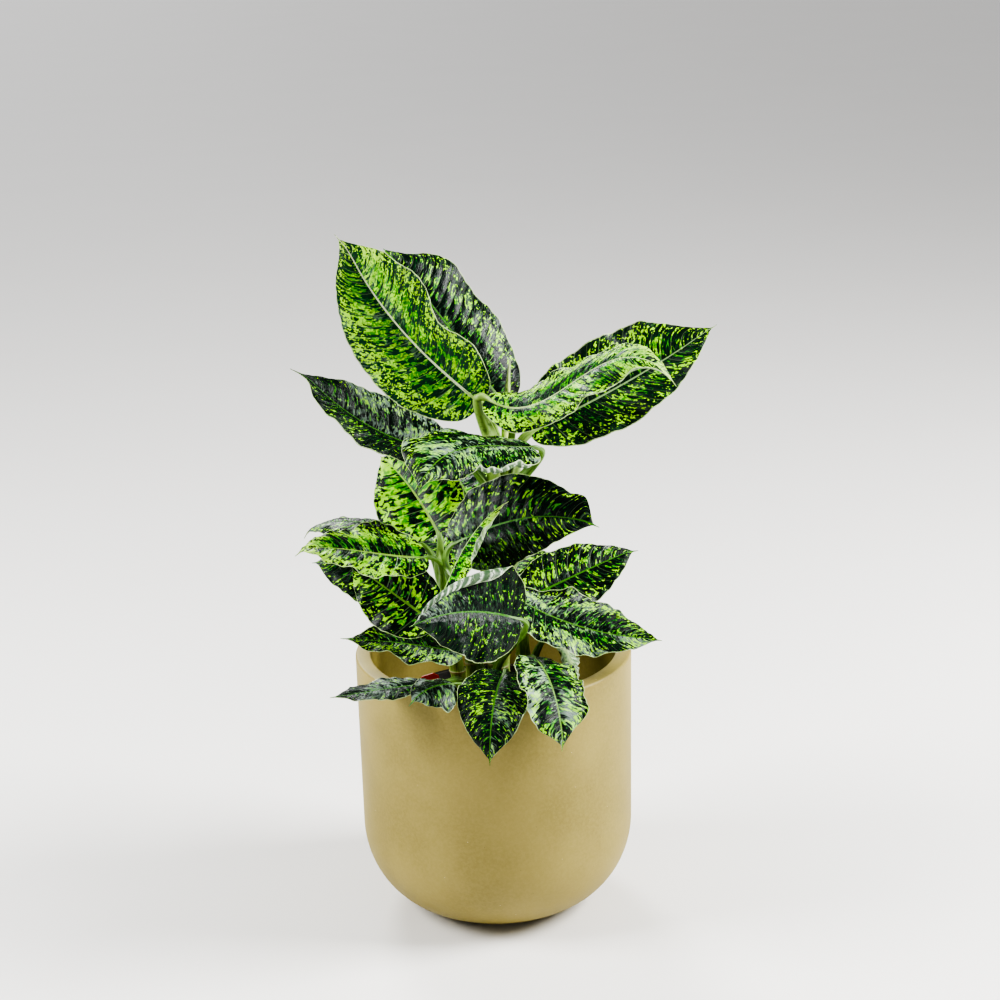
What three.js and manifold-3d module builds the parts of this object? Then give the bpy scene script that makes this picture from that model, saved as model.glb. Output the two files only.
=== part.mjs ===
// Potted dieffenbachia: a planter, the grower's pot inside it, soil, a plant tag,
// the canes and their leaves. Millimetres, +Z up, the origin in the middle of the planter's base,
// the viewer on the -Y side.
import * as THREE from "three";
import { mergeVertices } from "three/addons/utils/BufferGeometryUtils.js";
import Module from "manifold-3d";

const wasm = await Module();
wasm.setup();

// Driving dimensions

// The clearance between neighbouring solids.
const GAP = 0.3;

// Points closer than this are one point.
const SAME_POINT = 1e-4;

const PLANTER = {
  height: 242,
  rimRadius: 125,
  draft: 1,
  lipWidth: 14,
  cornerRise: 79,
  cornerSteps: 8,
  baseRadius: 56,
  innerBaseRadius: 62,
  floorThickness: 12,
  wallThickness: 12,
  sides: 40,
};

const NURSERY_POT = {
  height: 176,
  rimRadius: 95,
  baseRadius: 58,
  wall: 1.8,
  lipWidth: 3,
  lipDepth: 8,
  sides: 24,
};

const SOIL = {
  belowPotRim: 9,
  crown: 4,
  shoulderShare: 0.6,
  shoulderRise: 3.2,
  caneHoleDepth: 40,
  tagHoleDepth: 48,
  holeClearance: 0.4,
};

const TAG = {
  width: 18,
  length: 122,
  pointLength: 16,
  cornerLength: 4,
  thickness: 1,
  foot: [-32, -50],
  leanBack: 10,
  leanSide: -14,
  turn: 8,
};

const LEAF = {
  thickness: 0.8,
  stations: 12,
  strips: 2,
  widest: 0.4,
  tipPower: 0.9,
  lobe: 0.1,
  lobeStart: 0.25,
  lobeFade: 3,
  ripplePhase: 1.9,
};

const STALK = {
  sides: 6,
  steps: 5,
  footRadius: 3.4,
  neckRadius: 2.2,
  endRadius: 0.9,
  neckPlace: 0.7,
  footShare: 0.7,
  spread: 0.12,
  climb: 0.3,
  neckShare: 0.35,
  ribPlaces: [0.06, 0.14],
  caneClearance: 0.45,
};

// Each cane: its foot on the soil, its top, how far its middle bows aside, and its radius.
const CANE = {
  sides: 10,
  nodeSpacing: 20,
  nodeSwell: 0.8,
  topTaper: 0.8,
  crownTaper: 0.4,
  crownRise: 4,
};
const CANES = {
  tall: { foot: [0, 4], top: [13, 0, 422], bow: [4, 4], radius: 9 },
  left: { foot: [-26, 2], top: [-40, -22, 322], bow: [-4, 2], radius: 7.5 },
  middle: { foot: [-20, -28], top: [-22, -44, 306], bow: [2, -2], radius: 7 },
  right: { foot: [22, -16], top: [26, -30, 268], bow: [2, -2], radius: 7.5 },
  front: { foot: [4, -44], top: [0, -54, 250], bow: [0, 0], radius: 7 },
  back: { foot: [6, 34], top: [8, 46, 300], bow: [2, 4], radius: 7.5 },
};

const NEW_LEAF = {
  cane: "tall",
  tip: [21, 12, 508],
  footRadius: 2.4,
  radius: 3.4,
  tipRadius: 0.6,
  widest: 0.4,
  steps: 6,
  sides: 8,
};

// Each leaf: the cane and the height where its stalk leaves it, the blade's base and tip, how far
// the midrib rises above the straight line at a third and at two thirds of it, how far it sweeps
// to its right, the full width and the tilt to the right about the midrib at base and tip. Then for
// the left and the right half: the angle that it is raised, how far it curls down and the ripple of
// its margin. A bulge widens one half: the side, its place on the midrib, its reach and its share.
const LEAVES = [
  { name: "leaf_top_left", cane: "tall", node: 392, base: [-6, -1, 473], tip: [-122, 34, 615],
    rise: [-14, -20], sweep: 0, width: 98, roll: [-86, -74],
    fold: [22, 22], curl: [12, 12], ripple: [2, 2], waves: 3,
    bulges: [[1, 0.4, 0.14, -0.32], [1, 0.72, 0.13, 0.18], [1, 0.92, 0.1, 0.5]] },
  { name: "leaf_top_behind", cane: "tall", node: 406, base: [14, 26, 464], tip: [-88, 84, 594],
    rise: [4, 6], sweep: 0, width: 92, roll: [-36, -36],
    fold: [8, 8], curl: [34, 34], ripple: [3, 3], waves: 3, bulges: [[1, 0.84, 0.17, 0.6]] },
  { name: "leaf_top_right_back", cane: "tall", node: 390, base: [38, 4, 443], tip: [200, 38, 526],
    rise: [-4, -8], sweep: 0, width: 92, roll: [46, 50],
    fold: [26, 26], curl: [10, 10], ripple: [3, 3], waves: 4, bulges: [[-1, 0.74, 0.17, 0.2]] },
  { name: "leaf_top_right_front", cane: "tall", node: 414, base: [0, -25, 483], tip: [160, -60, 506],
    rise: [-46, 70], sweep: 0, width: 80, roll: [14, 24],
    fold: [12, 2], curl: [24, 36], ripple: [2, 7], waves: 2.5,
    bulges: [[1, 0.3, 0.1, -0.45], [-1, 0.6, 0.25, -0.35]] },
  { name: "leaf_top_left_low", cane: "tall", node: 370, base: [-34, -6, 428], tip: [-161, 8, 503],
    rise: [-18, -18], sweep: 0, width: 76, roll: [-25, -25],
    fold: [24, 24], curl: [16, 16], ripple: [2, 2], waves: 3, bulges: [] },
  { name: "leaf_top_near", cane: "tall", node: 380, base: [38, -50, 446], tip: [-58, -126, 436],
    rise: [10, 30], sweep: 14, width: 96, roll: [-4, -10],
    fold: [4, 8], curl: [44, 26], ripple: [3, 3], waves: 3, bulges: [[1, 0.72, 0.2, 0.4]] },

  { name: "leaf_left_upright", cane: "left", node: 316, base: [-46, -20, 360], tip: [-97, 46, 412],
    rise: [2, 6], sweep: 4, width: 80, roll: [-36, -36],
    fold: [10, 10], curl: [14, 14], ripple: [2, 2], waves: 3, bulges: [] },
  { name: "leaf_left_long", cane: "left", node: 306, base: [-56, -56, 350], tip: [-164, -86, 371],
    rise: [-4, 8], sweep: 0, width: 66, roll: [-11, -11],
    fold: [4, 16], curl: [24, 18], ripple: [2, 2], waves: 3, bulges: [[1, 0.28, 0.22, 0.45]] },
  { name: "leaf_left_back", cane: "left", node: 306, base: [-63, 0, 344], tip: [-168, 18, 352],
    rise: [14, 24], sweep: 0, width: 60, roll: [0, 0],
    fold: [0, 0], curl: [30, 30], ripple: [2, 2], waves: 3, bulges: [] },
  { name: "leaf_left_under", cane: "left", node: 274, base: [-64, -20, 314], tip: [-158, 8, 326],
    rise: [2, 4], sweep: 0, width: 66, roll: [-36, -36],
    fold: [8, 8], curl: [20, 20], ripple: [2, 2], waves: 3, bulges: [] },
  { name: "leaf_left_low", cane: "middle", node: 262, base: [-50, -78, 297], tip: [-122, -46, 343],
    rise: [0, 0], sweep: 0, width: 66, roll: [-36, -62],
    fold: [10, 10], curl: [16, 16], ripple: [2, 2], waves: 3, bulges: [] },
  { name: "leaf_middle_upper", cane: "middle", node: 300, base: [-32, -48, 359], tip: [88, -86, 387],
    rise: [14, 22], sweep: 0, width: 84, roll: [54, 54],
    fold: [14, 14], curl: [20, 20], ripple: [2, 2], waves: 4, bulges: [[-1, 0.95, 0.07, 1.3]] },
  { name: "leaf_middle_folded", cane: "middle", node: 276, base: [-43, -88, 325], tip: [12, -97, 411],
    rise: [7, 12], sweep: 0, width: 52, roll: [44, 44],
    fold: [-56, 16], curl: [10, 10], ripple: [2, 2], waves: 3, bulges: [[1, 0.7, 0.2, 0.2]] },

  { name: "leaf_middle_near", cane: "front", node: 244, base: [24, -102, 308], tip: [-64, -172, 332],
    rise: [10, 14], sweep: 0, width: 86, roll: [-68, -62],
    fold: [6, 4], curl: [26, -20], ripple: [3, 3], waves: 3, bulges: [[1, 0.3, 0.22, 0.2]] },
  { name: "leaf_right_upper", cane: "right", node: 250, base: [27, -10, 291], tip: [129, 30, 322],
    rise: [0, 2], sweep: 0, width: 66, roll: [36, 36],
    fold: [8, 8], curl: [18, 18], ripple: [2, 2], waves: 3, bulges: [] },
  { name: "leaf_right_lower", cane: "tall", node: 262, base: [20, -42, 307], tip: [144, -68, 273],
    rise: [-14, -12], sweep: 0, width: 74, roll: [22, 22],
    fold: [16, 16], curl: [24, 24], ripple: [2, 2], waves: 3, bulges: [[-1, 0.16, 0.16, -0.3]] },
  { name: "leaf_right_hanging", cane: "right", node: 226, base: [54, -22, 260], tip: [74, -48, 224],
    rise: [8, 8], sweep: 0, width: 54, roll: [140, 140],
    fold: [8, 8], curl: [20, 20], ripple: [1, 1], waves: 3, bulges: [] },

  { name: "leaf_rim_left", cane: "front", node: 222, base: [-28, -56, 261], tip: [-129, -78, 284],
    rise: [2, 4], sweep: 0, width: 48, roll: [-20, -6],
    fold: [4, 14], curl: [20, 20], ripple: [3, 3], waves: 3, bulges: [] },
  { name: "leaf_rim_left_low", cane: "middle", node: 214, base: [-58, -92, 246], tip: [-136, -130, 252],
    rise: [3, 0], sweep: 0, width: 40, roll: [-4, -4],
    fold: [4, 4], curl: [14, 14], ripple: [2, 2], waves: 3, bulges: [] },
  { name: "leaf_rim_front_left", cane: "middle", node: 196, base: [-34, -110, 253.5], tip: [-69, -146, 253],
    rise: [6, 8], sweep: 0, width: 42, roll: [-34, -34],
    fold: [-4, -26], curl: [20, 20], ripple: [2, 2], waves: 3, bulges: [[-1, 0.5, 0.25, 0.2]] },
  { name: "leaf_rim_front", cane: "front", node: 212, base: [10, -84, 253], tip: [-5, -152, 199],
    rise: [26, 28], sweep: 0, width: 66, roll: [-8, -4],
    fold: [6, 6], curl: [18, 18], ripple: [2, 2], waves: 3, bulges: [] },
  { name: "leaf_rim_front_right", cane: "front", node: 192, base: [36, -76, 262], tip: [58, -146, 208],
    rise: [26, 26], sweep: 0, width: 60, roll: [-12, -12],
    fold: [10, 10], curl: [18, 18], ripple: [3, 3], waves: 4, bulges: [[-1, 0.8, 0.16, 0.4]] },

  { name: "leaf_back_high", cane: "back", node: 292, base: [-10, 66, 342], tip: [-48, 150, 372],
    rise: [12, 18], sweep: 0, width: 84, roll: [0, 0],
    fold: [10, 10], curl: [20, 20], ripple: [2, 2], waves: 3, bulges: [] },
  { name: "leaf_back_right", cane: "back", node: 284, base: [34, 62, 326], tip: [74, 140, 330],
    rise: [14, 20], sweep: 0, width: 72, roll: [0, 0],
    fold: [10, 10], curl: [20, 20], ripple: [2, 2], waves: 3, bulges: [] },
  { name: "leaf_back_left", cane: "back", node: 270, base: [-14, 62, 301], tip: [-104, 120, 308],
    rise: [12, 18], sweep: 0, width: 76, roll: [0, 0],
    fold: [10, 10], curl: [20, 20], ripple: [2, 2], waves: 3, bulges: [] },
  { name: "leaf_back_low", cane: "back", node: 252, base: [18, 74, 286], tip: [22, 162, 270],
    rise: [14, 20], sweep: 0, width: 76, roll: [0, 0],
    fold: [8, 8], curl: [20, 20], ripple: [2, 2], waves: 3, bulges: [] },
];

// Shapes

const DEGREE = Math.PI / 180;
const UP = new THREE.Vector3(0, 0, 1);
const vector = (values) => new THREE.Vector3(...values);
const mix = (a, b, t) => a + (b - a) * t;

function indexedGeometry(points, triangles) {
  const geometry = new THREE.BufferGeometry();
  geometry.setFromPoints(points);
  geometry.setIndex(triangles);
  return geometry;
}

// A closed body of quads between rings of points, its first and last ring filled by a fan.
function loftSolid(rings) {
  const sides = rings[0].length;
  const triangles = [];
  for (let r = 0; r < rings.length - 1; r += 1) {
    for (let s = 0; s < sides; s += 1) {
      const a = r * sides + s;
      const b = r * sides + ((s + 1) % sides);
      triangles.push(a, b, b + sides, a, b + sides, a + sides);
    }
  }
  const last = (rings.length - 1) * sides;
  for (let s = 1; s < sides - 1; s += 1) {
    triangles.push(0, s + 1, s, last, last + s, last + s + 1);
  }
  return indexedGeometry(rings.flat(), triangles);
}

function toSolid(geometry) {
  const plain = geometry.clone();
  plain.deleteAttribute("normal");
  plain.deleteAttribute("uv");
  const merged = mergeVertices(plain, SAME_POINT);
  return new wasm.Manifold(new wasm.Mesh({
    numProp: 3,
    vertProperties: new Float32Array(merged.attributes.position.array),
    triVerts: new Uint32Array(merged.index.array),
  }));
}

function toGeometry(solid) {
  const mesh = solid.getMesh();
  const geometry = new THREE.BufferGeometry();
  geometry.setAttribute("position", new THREE.BufferAttribute(mesh.vertProperties, 3));
  geometry.setIndex(new THREE.BufferAttribute(mesh.triVerts, 1));
  return geometry;
}

// A solid of revolution about the upright axis; the profile's points are [radius, height].
function turned(profile, sides) {
  const points = profile.map(([radius, height]) => new THREE.Vector2(radius, height));
  const geometry = new THREE.LatheGeometry(points, sides);
  geometry.rotateX(Math.PI / 2);
  return geometry;
}

// A round bar along a curve; its radius follows a function of the way along the curve.
function taperedBar(curve, radiusAt, steps, sides) {
  const frames = curve.computeFrenetFrames(steps, false);
  const rings = [];
  for (let i = 0; i <= steps; i += 1) {
    const centre = curve.getPointAt(i / steps);
    const radius = radiusAt(i / steps);
    const ring = [];
    for (let s = 0; s < sides; s += 1) {
      const angle = (2 * Math.PI * s) / sides;
      const point = centre.clone();
      point.addScaledVector(frames.normals[i], radius * Math.cos(angle));
      point.addScaledVector(frames.binormals[i], radius * Math.sin(angle));
      ring.push(point);
    }
    rings.push(ring);
  }
  return loftSolid(rings);
}

// The planter: a nearly upright wall, a wide rounded corner and a small flat base.

function roundedWall(baseRadius, wallRadius, bottom, rise) {
  const points = [];
  for (let i = 0; i <= PLANTER.cornerSteps; i += 1) {
    const angle = (i / PLANTER.cornerSteps) * (Math.PI / 2);
    const radius = mix(baseRadius, wallRadius, Math.sin(angle));
    points.push([radius, bottom + rise * (1 - Math.cos(angle))]);
  }
  return points;
}

function makePlanter() {
  const { baseRadius, innerBaseRadius, cornerRise, floorThickness, wallThickness } = PLANTER;
  const wallRadius = PLANTER.rimRadius - PLANTER.draft;
  const outer = roundedWall(baseRadius, wallRadius, 0, cornerRise);
  const innerRadius = wallRadius - wallThickness;
  const inner = roundedWall(innerBaseRadius, innerRadius, floorThickness, cornerRise);
  return turned([
    [0, 0],
    ...outer,
    [PLANTER.rimRadius, PLANTER.height],
    [PLANTER.rimRadius - PLANTER.lipWidth, PLANTER.height],
    ...inner.reverse(),
    [0, floorThickness],
  ], PLANTER.sides);
}

// The grower's pot stands on the planter's floor.

const POT_FLOOR = PLANTER.floorThickness + GAP;
const POT_TOP = POT_FLOOR + NURSERY_POT.height;

function makeNurseryPot() {
  const { rimRadius, baseRadius, wall, lipWidth, lipDepth } = NURSERY_POT;
  return turned([
    [0, POT_FLOOR],
    [baseRadius, POT_FLOOR],
    [rimRadius - lipWidth, POT_TOP - lipDepth],
    [rimRadius, POT_TOP - lipDepth],
    [rimRadius, POT_TOP],
    [rimRadius - lipWidth - wall, POT_TOP],
    [baseRadius - wall, POT_FLOOR + wall],
    [0, POT_FLOOR + wall],
  ], NURSERY_POT.sides);
}

// Canes: each follows a bowed line from its foot to its crown, swollen at each old node.

const SOIL_TOP = POT_TOP - SOIL.belowPotRim;
const SOIL_CROWN = SOIL_TOP + SOIL.crown;
const HOLE_BOTTOM = SOIL_TOP - SOIL.caneHoleDepth;

function caneCentre(cane, height) {
  const t = Math.max(0, (height - SOIL_CROWN) / (cane.top[2] - SOIL_CROWN));
  const bulge = 4 * t * (1 - t);
  const x = mix(cane.foot[0], cane.top[0], t) + cane.bow[0] * bulge;
  const y = mix(cane.foot[1], cane.top[1], t) + cane.bow[1] * bulge;
  return new THREE.Vector3(x, y, height);
}

function levelRing(centre, height, radius) {
  const ring = [];
  for (let s = 0; s < CANE.sides; s += 1) {
    const angle = (2 * Math.PI * s) / CANE.sides;
    const x = centre.x + radius * Math.cos(angle);
    const y = centre.y + radius * Math.sin(angle);
    ring.push(new THREE.Vector3(x, y, height));
  }
  return ring;
}

function makeCane(cane, clearance = 0) {
  const crown = cane.top[2];
  const foot = caneCentre(cane, SOIL_CROWN);
  const count = Math.round((crown - SOIL_CROWN) / CANE.nodeSpacing);
  const spacing = (crown - SOIL_CROWN) / count;
  const rings = [levelRing(foot, HOLE_BOTTOM + GAP, cane.radius + clearance)];
  rings.push(levelRing(foot, SOIL_CROWN, cane.radius + clearance));
  for (let i = 1; i <= count; i += 1) {
    const radius = cane.radius * mix(1, CANE.topTaper, i / count) + clearance;
    const waist = SOIL_CROWN + spacing * (i - 0.5);
    const node = SOIL_CROWN + spacing * i;
    rings.push(levelRing(caneCentre(cane, waist), waist, radius));
    rings.push(levelRing(caneCentre(cane, node), node, radius + CANE.nodeSwell));
  }
  const tip = crown + CANE.crownRise + clearance;
  rings.push(levelRing(caneCentre(cane, crown), tip, cane.radius * CANE.crownTaper + clearance));
  return loftSolid(rings);
}

function caneHole(cane) {
  const foot = caneCentre(cane, SOIL_CROWN);
  const radius = cane.radius + SOIL.holeClearance;
  return loftSolid([
    levelRing(foot, HOLE_BOTTOM, radius),
    levelRing(foot, SOIL_CROWN + SOIL.crown, radius),
  ]);
}

// The plant tag: a plain strip with a pointed foot, pushed into the soil.

function makeTag(clearance = 0) {
  const half = TAG.width / 2 + clearance;
  const top = TAG.length + clearance;
  const outline = new THREE.Shape([
    new THREE.Vector2(0, -clearance * 2),
    new THREE.Vector2(half, TAG.pointLength),
    new THREE.Vector2(half, top - TAG.cornerLength),
    new THREE.Vector2(half - TAG.cornerLength, top),
    new THREE.Vector2(TAG.cornerLength - half, top),
    new THREE.Vector2(-half, top - TAG.cornerLength),
    new THREE.Vector2(-half, TAG.pointLength),
  ]);
  const depth = TAG.thickness + clearance * 2;
  const strip = new THREE.ExtrudeGeometry(outline, { depth, bevelEnabled: false });
  strip.translate(0, 0, -depth / 2);
  strip.rotateX((90 + TAG.leanBack) * DEGREE);
  strip.rotateY(TAG.leanSide * DEGREE);
  strip.rotateZ(TAG.turn * DEGREE);
  strip.translate(TAG.foot[0], TAG.foot[1], SOIL_TOP - SOIL.tagHoleDepth);
  return strip;
}

// Soil fills the grower's pot to just below its rim, with a plain hole for each cane and the tag.

function innerPotRadius(height) {
  const { rimRadius, baseRadius, wall, lipWidth } = NURSERY_POT;
  const t = (height - POT_FLOOR - wall) / (NURSERY_POT.height - wall);
  return mix(baseRadius - wall, rimRadius - lipWidth - wall, t);
}

function makeSoil() {
  const bottom = POT_FLOOR + NURSERY_POT.wall + GAP;
  const topRadius = innerPotRadius(SOIL_TOP) - GAP * 2;
  const body = turned([
    [0, bottom],
    [innerPotRadius(bottom) - GAP * 2, bottom],
    [topRadius, SOIL_TOP],
    [topRadius * SOIL.shoulderShare, SOIL_TOP + SOIL.shoulderRise],
    [0, SOIL_CROWN],
  ], NURSERY_POT.sides);
  let solid = toSolid(body);
  for (const cane of Object.values(CANES)) {
    solid = solid.subtract(toSolid(caneHole(cane)));
  }
  return toGeometry(solid.subtract(toSolid(makeTag(SOIL.holeClearance))));
}

// Leaves: the blade is stretched along an arched midrib, its stalk runs down into a cane.

// The midrib is a cubic curve from the blade's base to its tip.
function midribCurve(leaf) {
  const base = vector(leaf.base);
  const tip = vector(leaf.tip);
  const chord = tip.clone().sub(base);
  const side = new THREE.Vector3(chord.y, -chord.x, 0).normalize();
  const lift = side.clone().cross(chord).normalize();
  const control = (share, rise) => base.clone()
    .addScaledVector(chord, share)
    .addScaledVector(lift, rise)
    .addScaledVector(side, leaf.sweep);
  const near = control(1 / 3, leaf.rise[0]);
  const far = control(2 / 3, leaf.rise[1]);
  return { curve: new THREE.CubicBezierCurve3(base, near, far, tip), side };
}

// Along, across and out of the blade at one place on the midrib.
function bladeFrame(leaf, rib, t) {
  const along = rib.curve.getTangent(t);
  const level = rib.side.clone().addScaledVector(along, -rib.side.dot(along)).normalize();
  const upright = level.clone().cross(along);
  const roll = mix(leaf.roll[0], leaf.roll[1], t) * DEGREE;
  const across = level.clone().multiplyScalar(Math.cos(roll)).addScaledVector(upright, -Math.sin(roll));
  const out = upright.multiplyScalar(Math.cos(roll)).addScaledVector(level, Math.sin(roll));
  return { along, across, out, place: rib.curve.getPoint(t) };
}

// The outline: zero at base and tip, one where the blade is widest.
function outlineShare(t) {
  const basePower = (LEAF.tipPower * LEAF.widest) / (1 - LEAF.widest);
  return (t / LEAF.widest) ** basePower * ((1 - t) / (1 - LEAF.widest)) ** LEAF.tipPower;
}

// How much wider than the outline one half is, because of the bulges on its side.
function bulgeShare(leaf, t, side) {
  return leaf.bulges
    .filter((bulge) => bulge[0] === side)
    .reduce((sum, bulge) => sum + bulge[3] * Math.exp(-(((t - bulge[1]) / bulge[2]) ** 2)), 1);
}

// A point of the blade: t runs from base to tip, v from the left margin at -1 to the right at 1.
function bladePoint(leaf, frame, t, v) {
  const share = Math.abs(v);
  const half = v > 0 ? 1 : 0;
  const halfWidth = (leaf.width / 2) * outlineShare(t) * bulgeShare(leaf, t, Math.sign(v));
  const fold = leaf.fold[half] * DEGREE;
  const curl = leaf.curl[half] * DEGREE;
  const reach = (Math.sin(fold) - Math.sin(fold - curl * share)) / curl;
  const lift = (Math.cos(fold - curl * share) - Math.cos(fold)) / curl;
  const phase = v > 0 ? 0 : LEAF.ripplePhase;
  const ripple = leaf.ripple[half] * Math.sin(2 * Math.PI * leaf.waves * t + phase);
  const wave = ripple * share ** 2 * Math.sqrt(Math.sin(Math.PI * t));
  const rounding = Math.min(1, halfWidth / (LEAF.lobeStart * leaf.width));
  const lobe = LEAF.lobe * leaf.width * (1 - t) ** LEAF.lobeFade * share * rounding;
  return frame.place.clone()
    .addScaledVector(frame.along, -lobe)
    .addScaledVector(frame.across, halfWidth * reach * Math.sign(v))
    .addScaledVector(frame.out, halfWidth * lift + wave);
}

// Rows of points from base to tip; the stations crowd a little towards both ends.
function bladeRows(leaf, rib) {
  const rows = [];
  for (let i = 1; i < LEAF.stations; i += 1) {
    const even = i / LEAF.stations;
    const crowded = (1 - Math.cos(Math.PI * even)) / 2;
    const t = (even + crowded) / 2;
    const frame = bladeFrame(leaf, rib, t);
    const row = [];
    for (let j = -LEAF.strips; j <= LEAF.strips; j += 1) {
      row.push(bladePoint(leaf, frame, t, j / LEAF.strips));
    }
    rows.push(row);
  }
  return rows;
}

// The direction out of the blade at each point, from the points next to it.
function rowNormals(rows, start, end) {
  const last = rows.length - 1;
  return rows.map((row, i) => row.map((point, j) => {
    const before = i > 0 ? rows[i - 1][j] : start;
    const after = i < last ? rows[i + 1][j] : end;
    const left = row[Math.max(j - 1, 0)];
    const right = row[Math.min(j + 1, row.length - 1)];
    const along = after.clone().sub(before);
    return right.clone().sub(left).cross(along).normalize();
  }));
}

// The blade's two faces are cut into the same triangles, so that they never cross.
function makeBlade(leaf, rib) {
  const rows = bladeRows(leaf, rib);
  const start = vector(leaf.base);
  const end = vector(leaf.tip);
  const normals = rowNormals(rows, start, end);
  const columns = rows[0].length;
  const half = LEAF.thickness / 2;
  const startOut = bladeFrame(leaf, rib, 0).out;
  const endOut = bladeFrame(leaf, rib, 1).out;
  const points = [];
  const triangles = [];
  for (const face of [1, -1]) {
    points.push(start.clone().addScaledVector(startOut, face * half));
    rows.forEach((row, i) => row.forEach((point, j) => {
      points.push(point.clone().addScaledVector(normals[i][j], face * half));
    }));
    points.push(end.clone().addScaledVector(endOut, face * half));
  }
  const faceSize = rows.length * columns + 2;
  const at = (i, j) => 1 + i * columns + j;
  const tipIndex = faceSize - 1;
  const addBoth = (a, b, c) => {
    triangles.push(a, b, c);
    triangles.push(a + faceSize, c + faceSize, b + faceSize);
  };
  for (let j = 0; j < columns - 1; j += 1) {
    addBoth(0, at(0, j + 1), at(0, j));
    addBoth(tipIndex, at(rows.length - 1, j), at(rows.length - 1, j + 1));
    for (let i = 0; i < rows.length - 1; i += 1) {
      addBoth(at(i, j), at(i, j + 1), at(i + 1, j + 1));
      addBoth(at(i, j), at(i + 1, j + 1), at(i + 1, j));
    }
  }
  const margin = [0];
  rows.forEach((row, i) => margin.push(at(i, columns - 1)));
  margin.push(tipIndex);
  for (let i = rows.length - 1; i >= 0; i -= 1) {
    margin.push(at(i, 0));
  }
  margin.forEach((a, i) => {
    const b = margin[(i + 1) % margin.length];
    triangles.push(a, a + faceSize, b + faceSize, a, b + faceSize, b);
  });
  return indexedGeometry(points, triangles);
}

// The stalk leaves the cane upward, bends to the blade and fades out as a rib under it.
function makeStalk(leaf, rib) {
  const cane = CANES[leaf.cane];
  const centre = caneCentre(cane, leaf.node);
  const base = vector(leaf.base);
  const outward = new THREE.Vector3(base.x - centre.x, base.y - centre.y, 0).normalize();
  const foot = centre.clone().addScaledVector(outward, cane.radius * STALK.footShare);
  const length = foot.distanceTo(base);
  const rise = foot.clone()
    .addScaledVector(outward, length * STALK.spread)
    .addScaledVector(UP, length * STALK.climb);
  const frame = bladeFrame(leaf, rib, 0);
  const neck = base.clone().addScaledVector(frame.along, -length * STALK.neckShare);
  const arm = new THREE.CubicBezierCurve3(foot, rise, neck, base);
  const points = arm.getPoints(STALK.steps);
  for (const t of STALK.ribPlaces) {
    const under = bladeFrame(leaf, rib, t);
    points.push(under.place.addScaledVector(under.out, -LEAF.thickness / 2));
  }
  const path = new THREE.CatmullRomCurve3(points, false, "centripetal");
  const radiusAt = (t) => (t < STALK.neckPlace
    ? mix(STALK.footRadius, STALK.neckRadius, t / STALK.neckPlace)
    : mix(STALK.neckRadius, STALK.endRadius, (t - STALK.neckPlace) / (1 - STALK.neckPlace)));
  return taperedBar(path, radiusAt, STALK.steps + STALK.ribPlaces.length, STALK.sides);
}

function makeLeaf(leaf) {
  const rib = midribCurve(leaf);
  const blade = toSolid(makeBlade(leaf, rib));
  const stalk = toSolid(makeStalk(leaf, rib));
  const cane = toSolid(makeCane(CANES[leaf.cane], STALK.caneClearance));
  return toGeometry(blade.add(stalk).subtract(cane));
}

// The newest leaf is still rolled up, a slim spindle on the tall cane's crown.
function makeNewLeaf() {
  const cane = CANES[NEW_LEAF.cane];
  const foot = caneCentre(cane, cane.top[2]);
  const tip = vector(NEW_LEAF.tip);
  const radiusAt = (t) => (t < NEW_LEAF.widest
    ? mix(NEW_LEAF.footRadius, NEW_LEAF.radius, t / NEW_LEAF.widest)
    : mix(NEW_LEAF.radius, NEW_LEAF.tipRadius, (t - NEW_LEAF.widest) / (1 - NEW_LEAF.widest)));
  const line = new THREE.LineCurve3(foot, tip);
  const spindle = toSolid(taperedBar(line, radiusAt, NEW_LEAF.steps, NEW_LEAF.sides));
  return toGeometry(spindle.subtract(toSolid(makeCane(cane, STALK.caneClearance))));
}

// Colours and the finished group

const FINISHES = {
  planter: { color: 0xb3a266, roughness: 0.5 },
  nurseryPot: { color: 0x15140f, roughness: 0.6 },
  soil: { color: 0x2b1e15, roughness: 0.98 },
  tag: { color: 0xc8210f, roughness: 0.4 },
  cane: { color: 0x76934a, roughness: 0.6 },
  leaf: { color: 0x1f4a1c, roughness: 0.38 },
  newLeaf: { color: 0xa9c95a, roughness: 0.42 },
};

const plant = new THREE.Group();

function addPiece(name, geometry, finish) {
  const material = new THREE.MeshStandardMaterial({ ...FINISHES[finish], metalness: 0 });
  const mesh = new THREE.Mesh(geometry, material);
  mesh.name = name;
  plant.add(mesh);
}

addPiece("planter", makePlanter(), "planter");
addPiece("nursery_pot", makeNurseryPot(), "nurseryPot");
addPiece("soil", makeSoil(), "soil");
addPiece("plant_tag", makeTag(), "tag");
for (const [name, cane] of Object.entries(CANES)) {
  addPiece(`cane_${name}`, makeCane(cane), "cane");
}
addPiece("leaf_new_rolled", makeNewLeaf(), "newLeaf");
for (const leaf of LEAVES) {
  addPiece(leaf.name, makeLeaf(leaf), "leaf");
}

export default plant;
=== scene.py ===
# %% [markdown]
# # A potted dieffenbachia
#
# The object is a houseplant: short canes with big speckled leaves, growing in a black grower's pot that
# stands inside an olive-sand coloured planter. An exact but coarse model of every piece is loaded first.
# It says where each piece is, and it never moves. The lesson then builds a finer piece in the same place,
# from the same measurements, for each of them but the tag, and gives every surface a finish made of
# shader nodes.
#
# Measurements are in millimetres, as a gardener would take them, and turn into metres only where a mesh
# is made.

# %% Load the imported model and keep its box
import math

import bpy
import numpy as np
from mathutils import Matrix, Vector, noise


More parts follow.
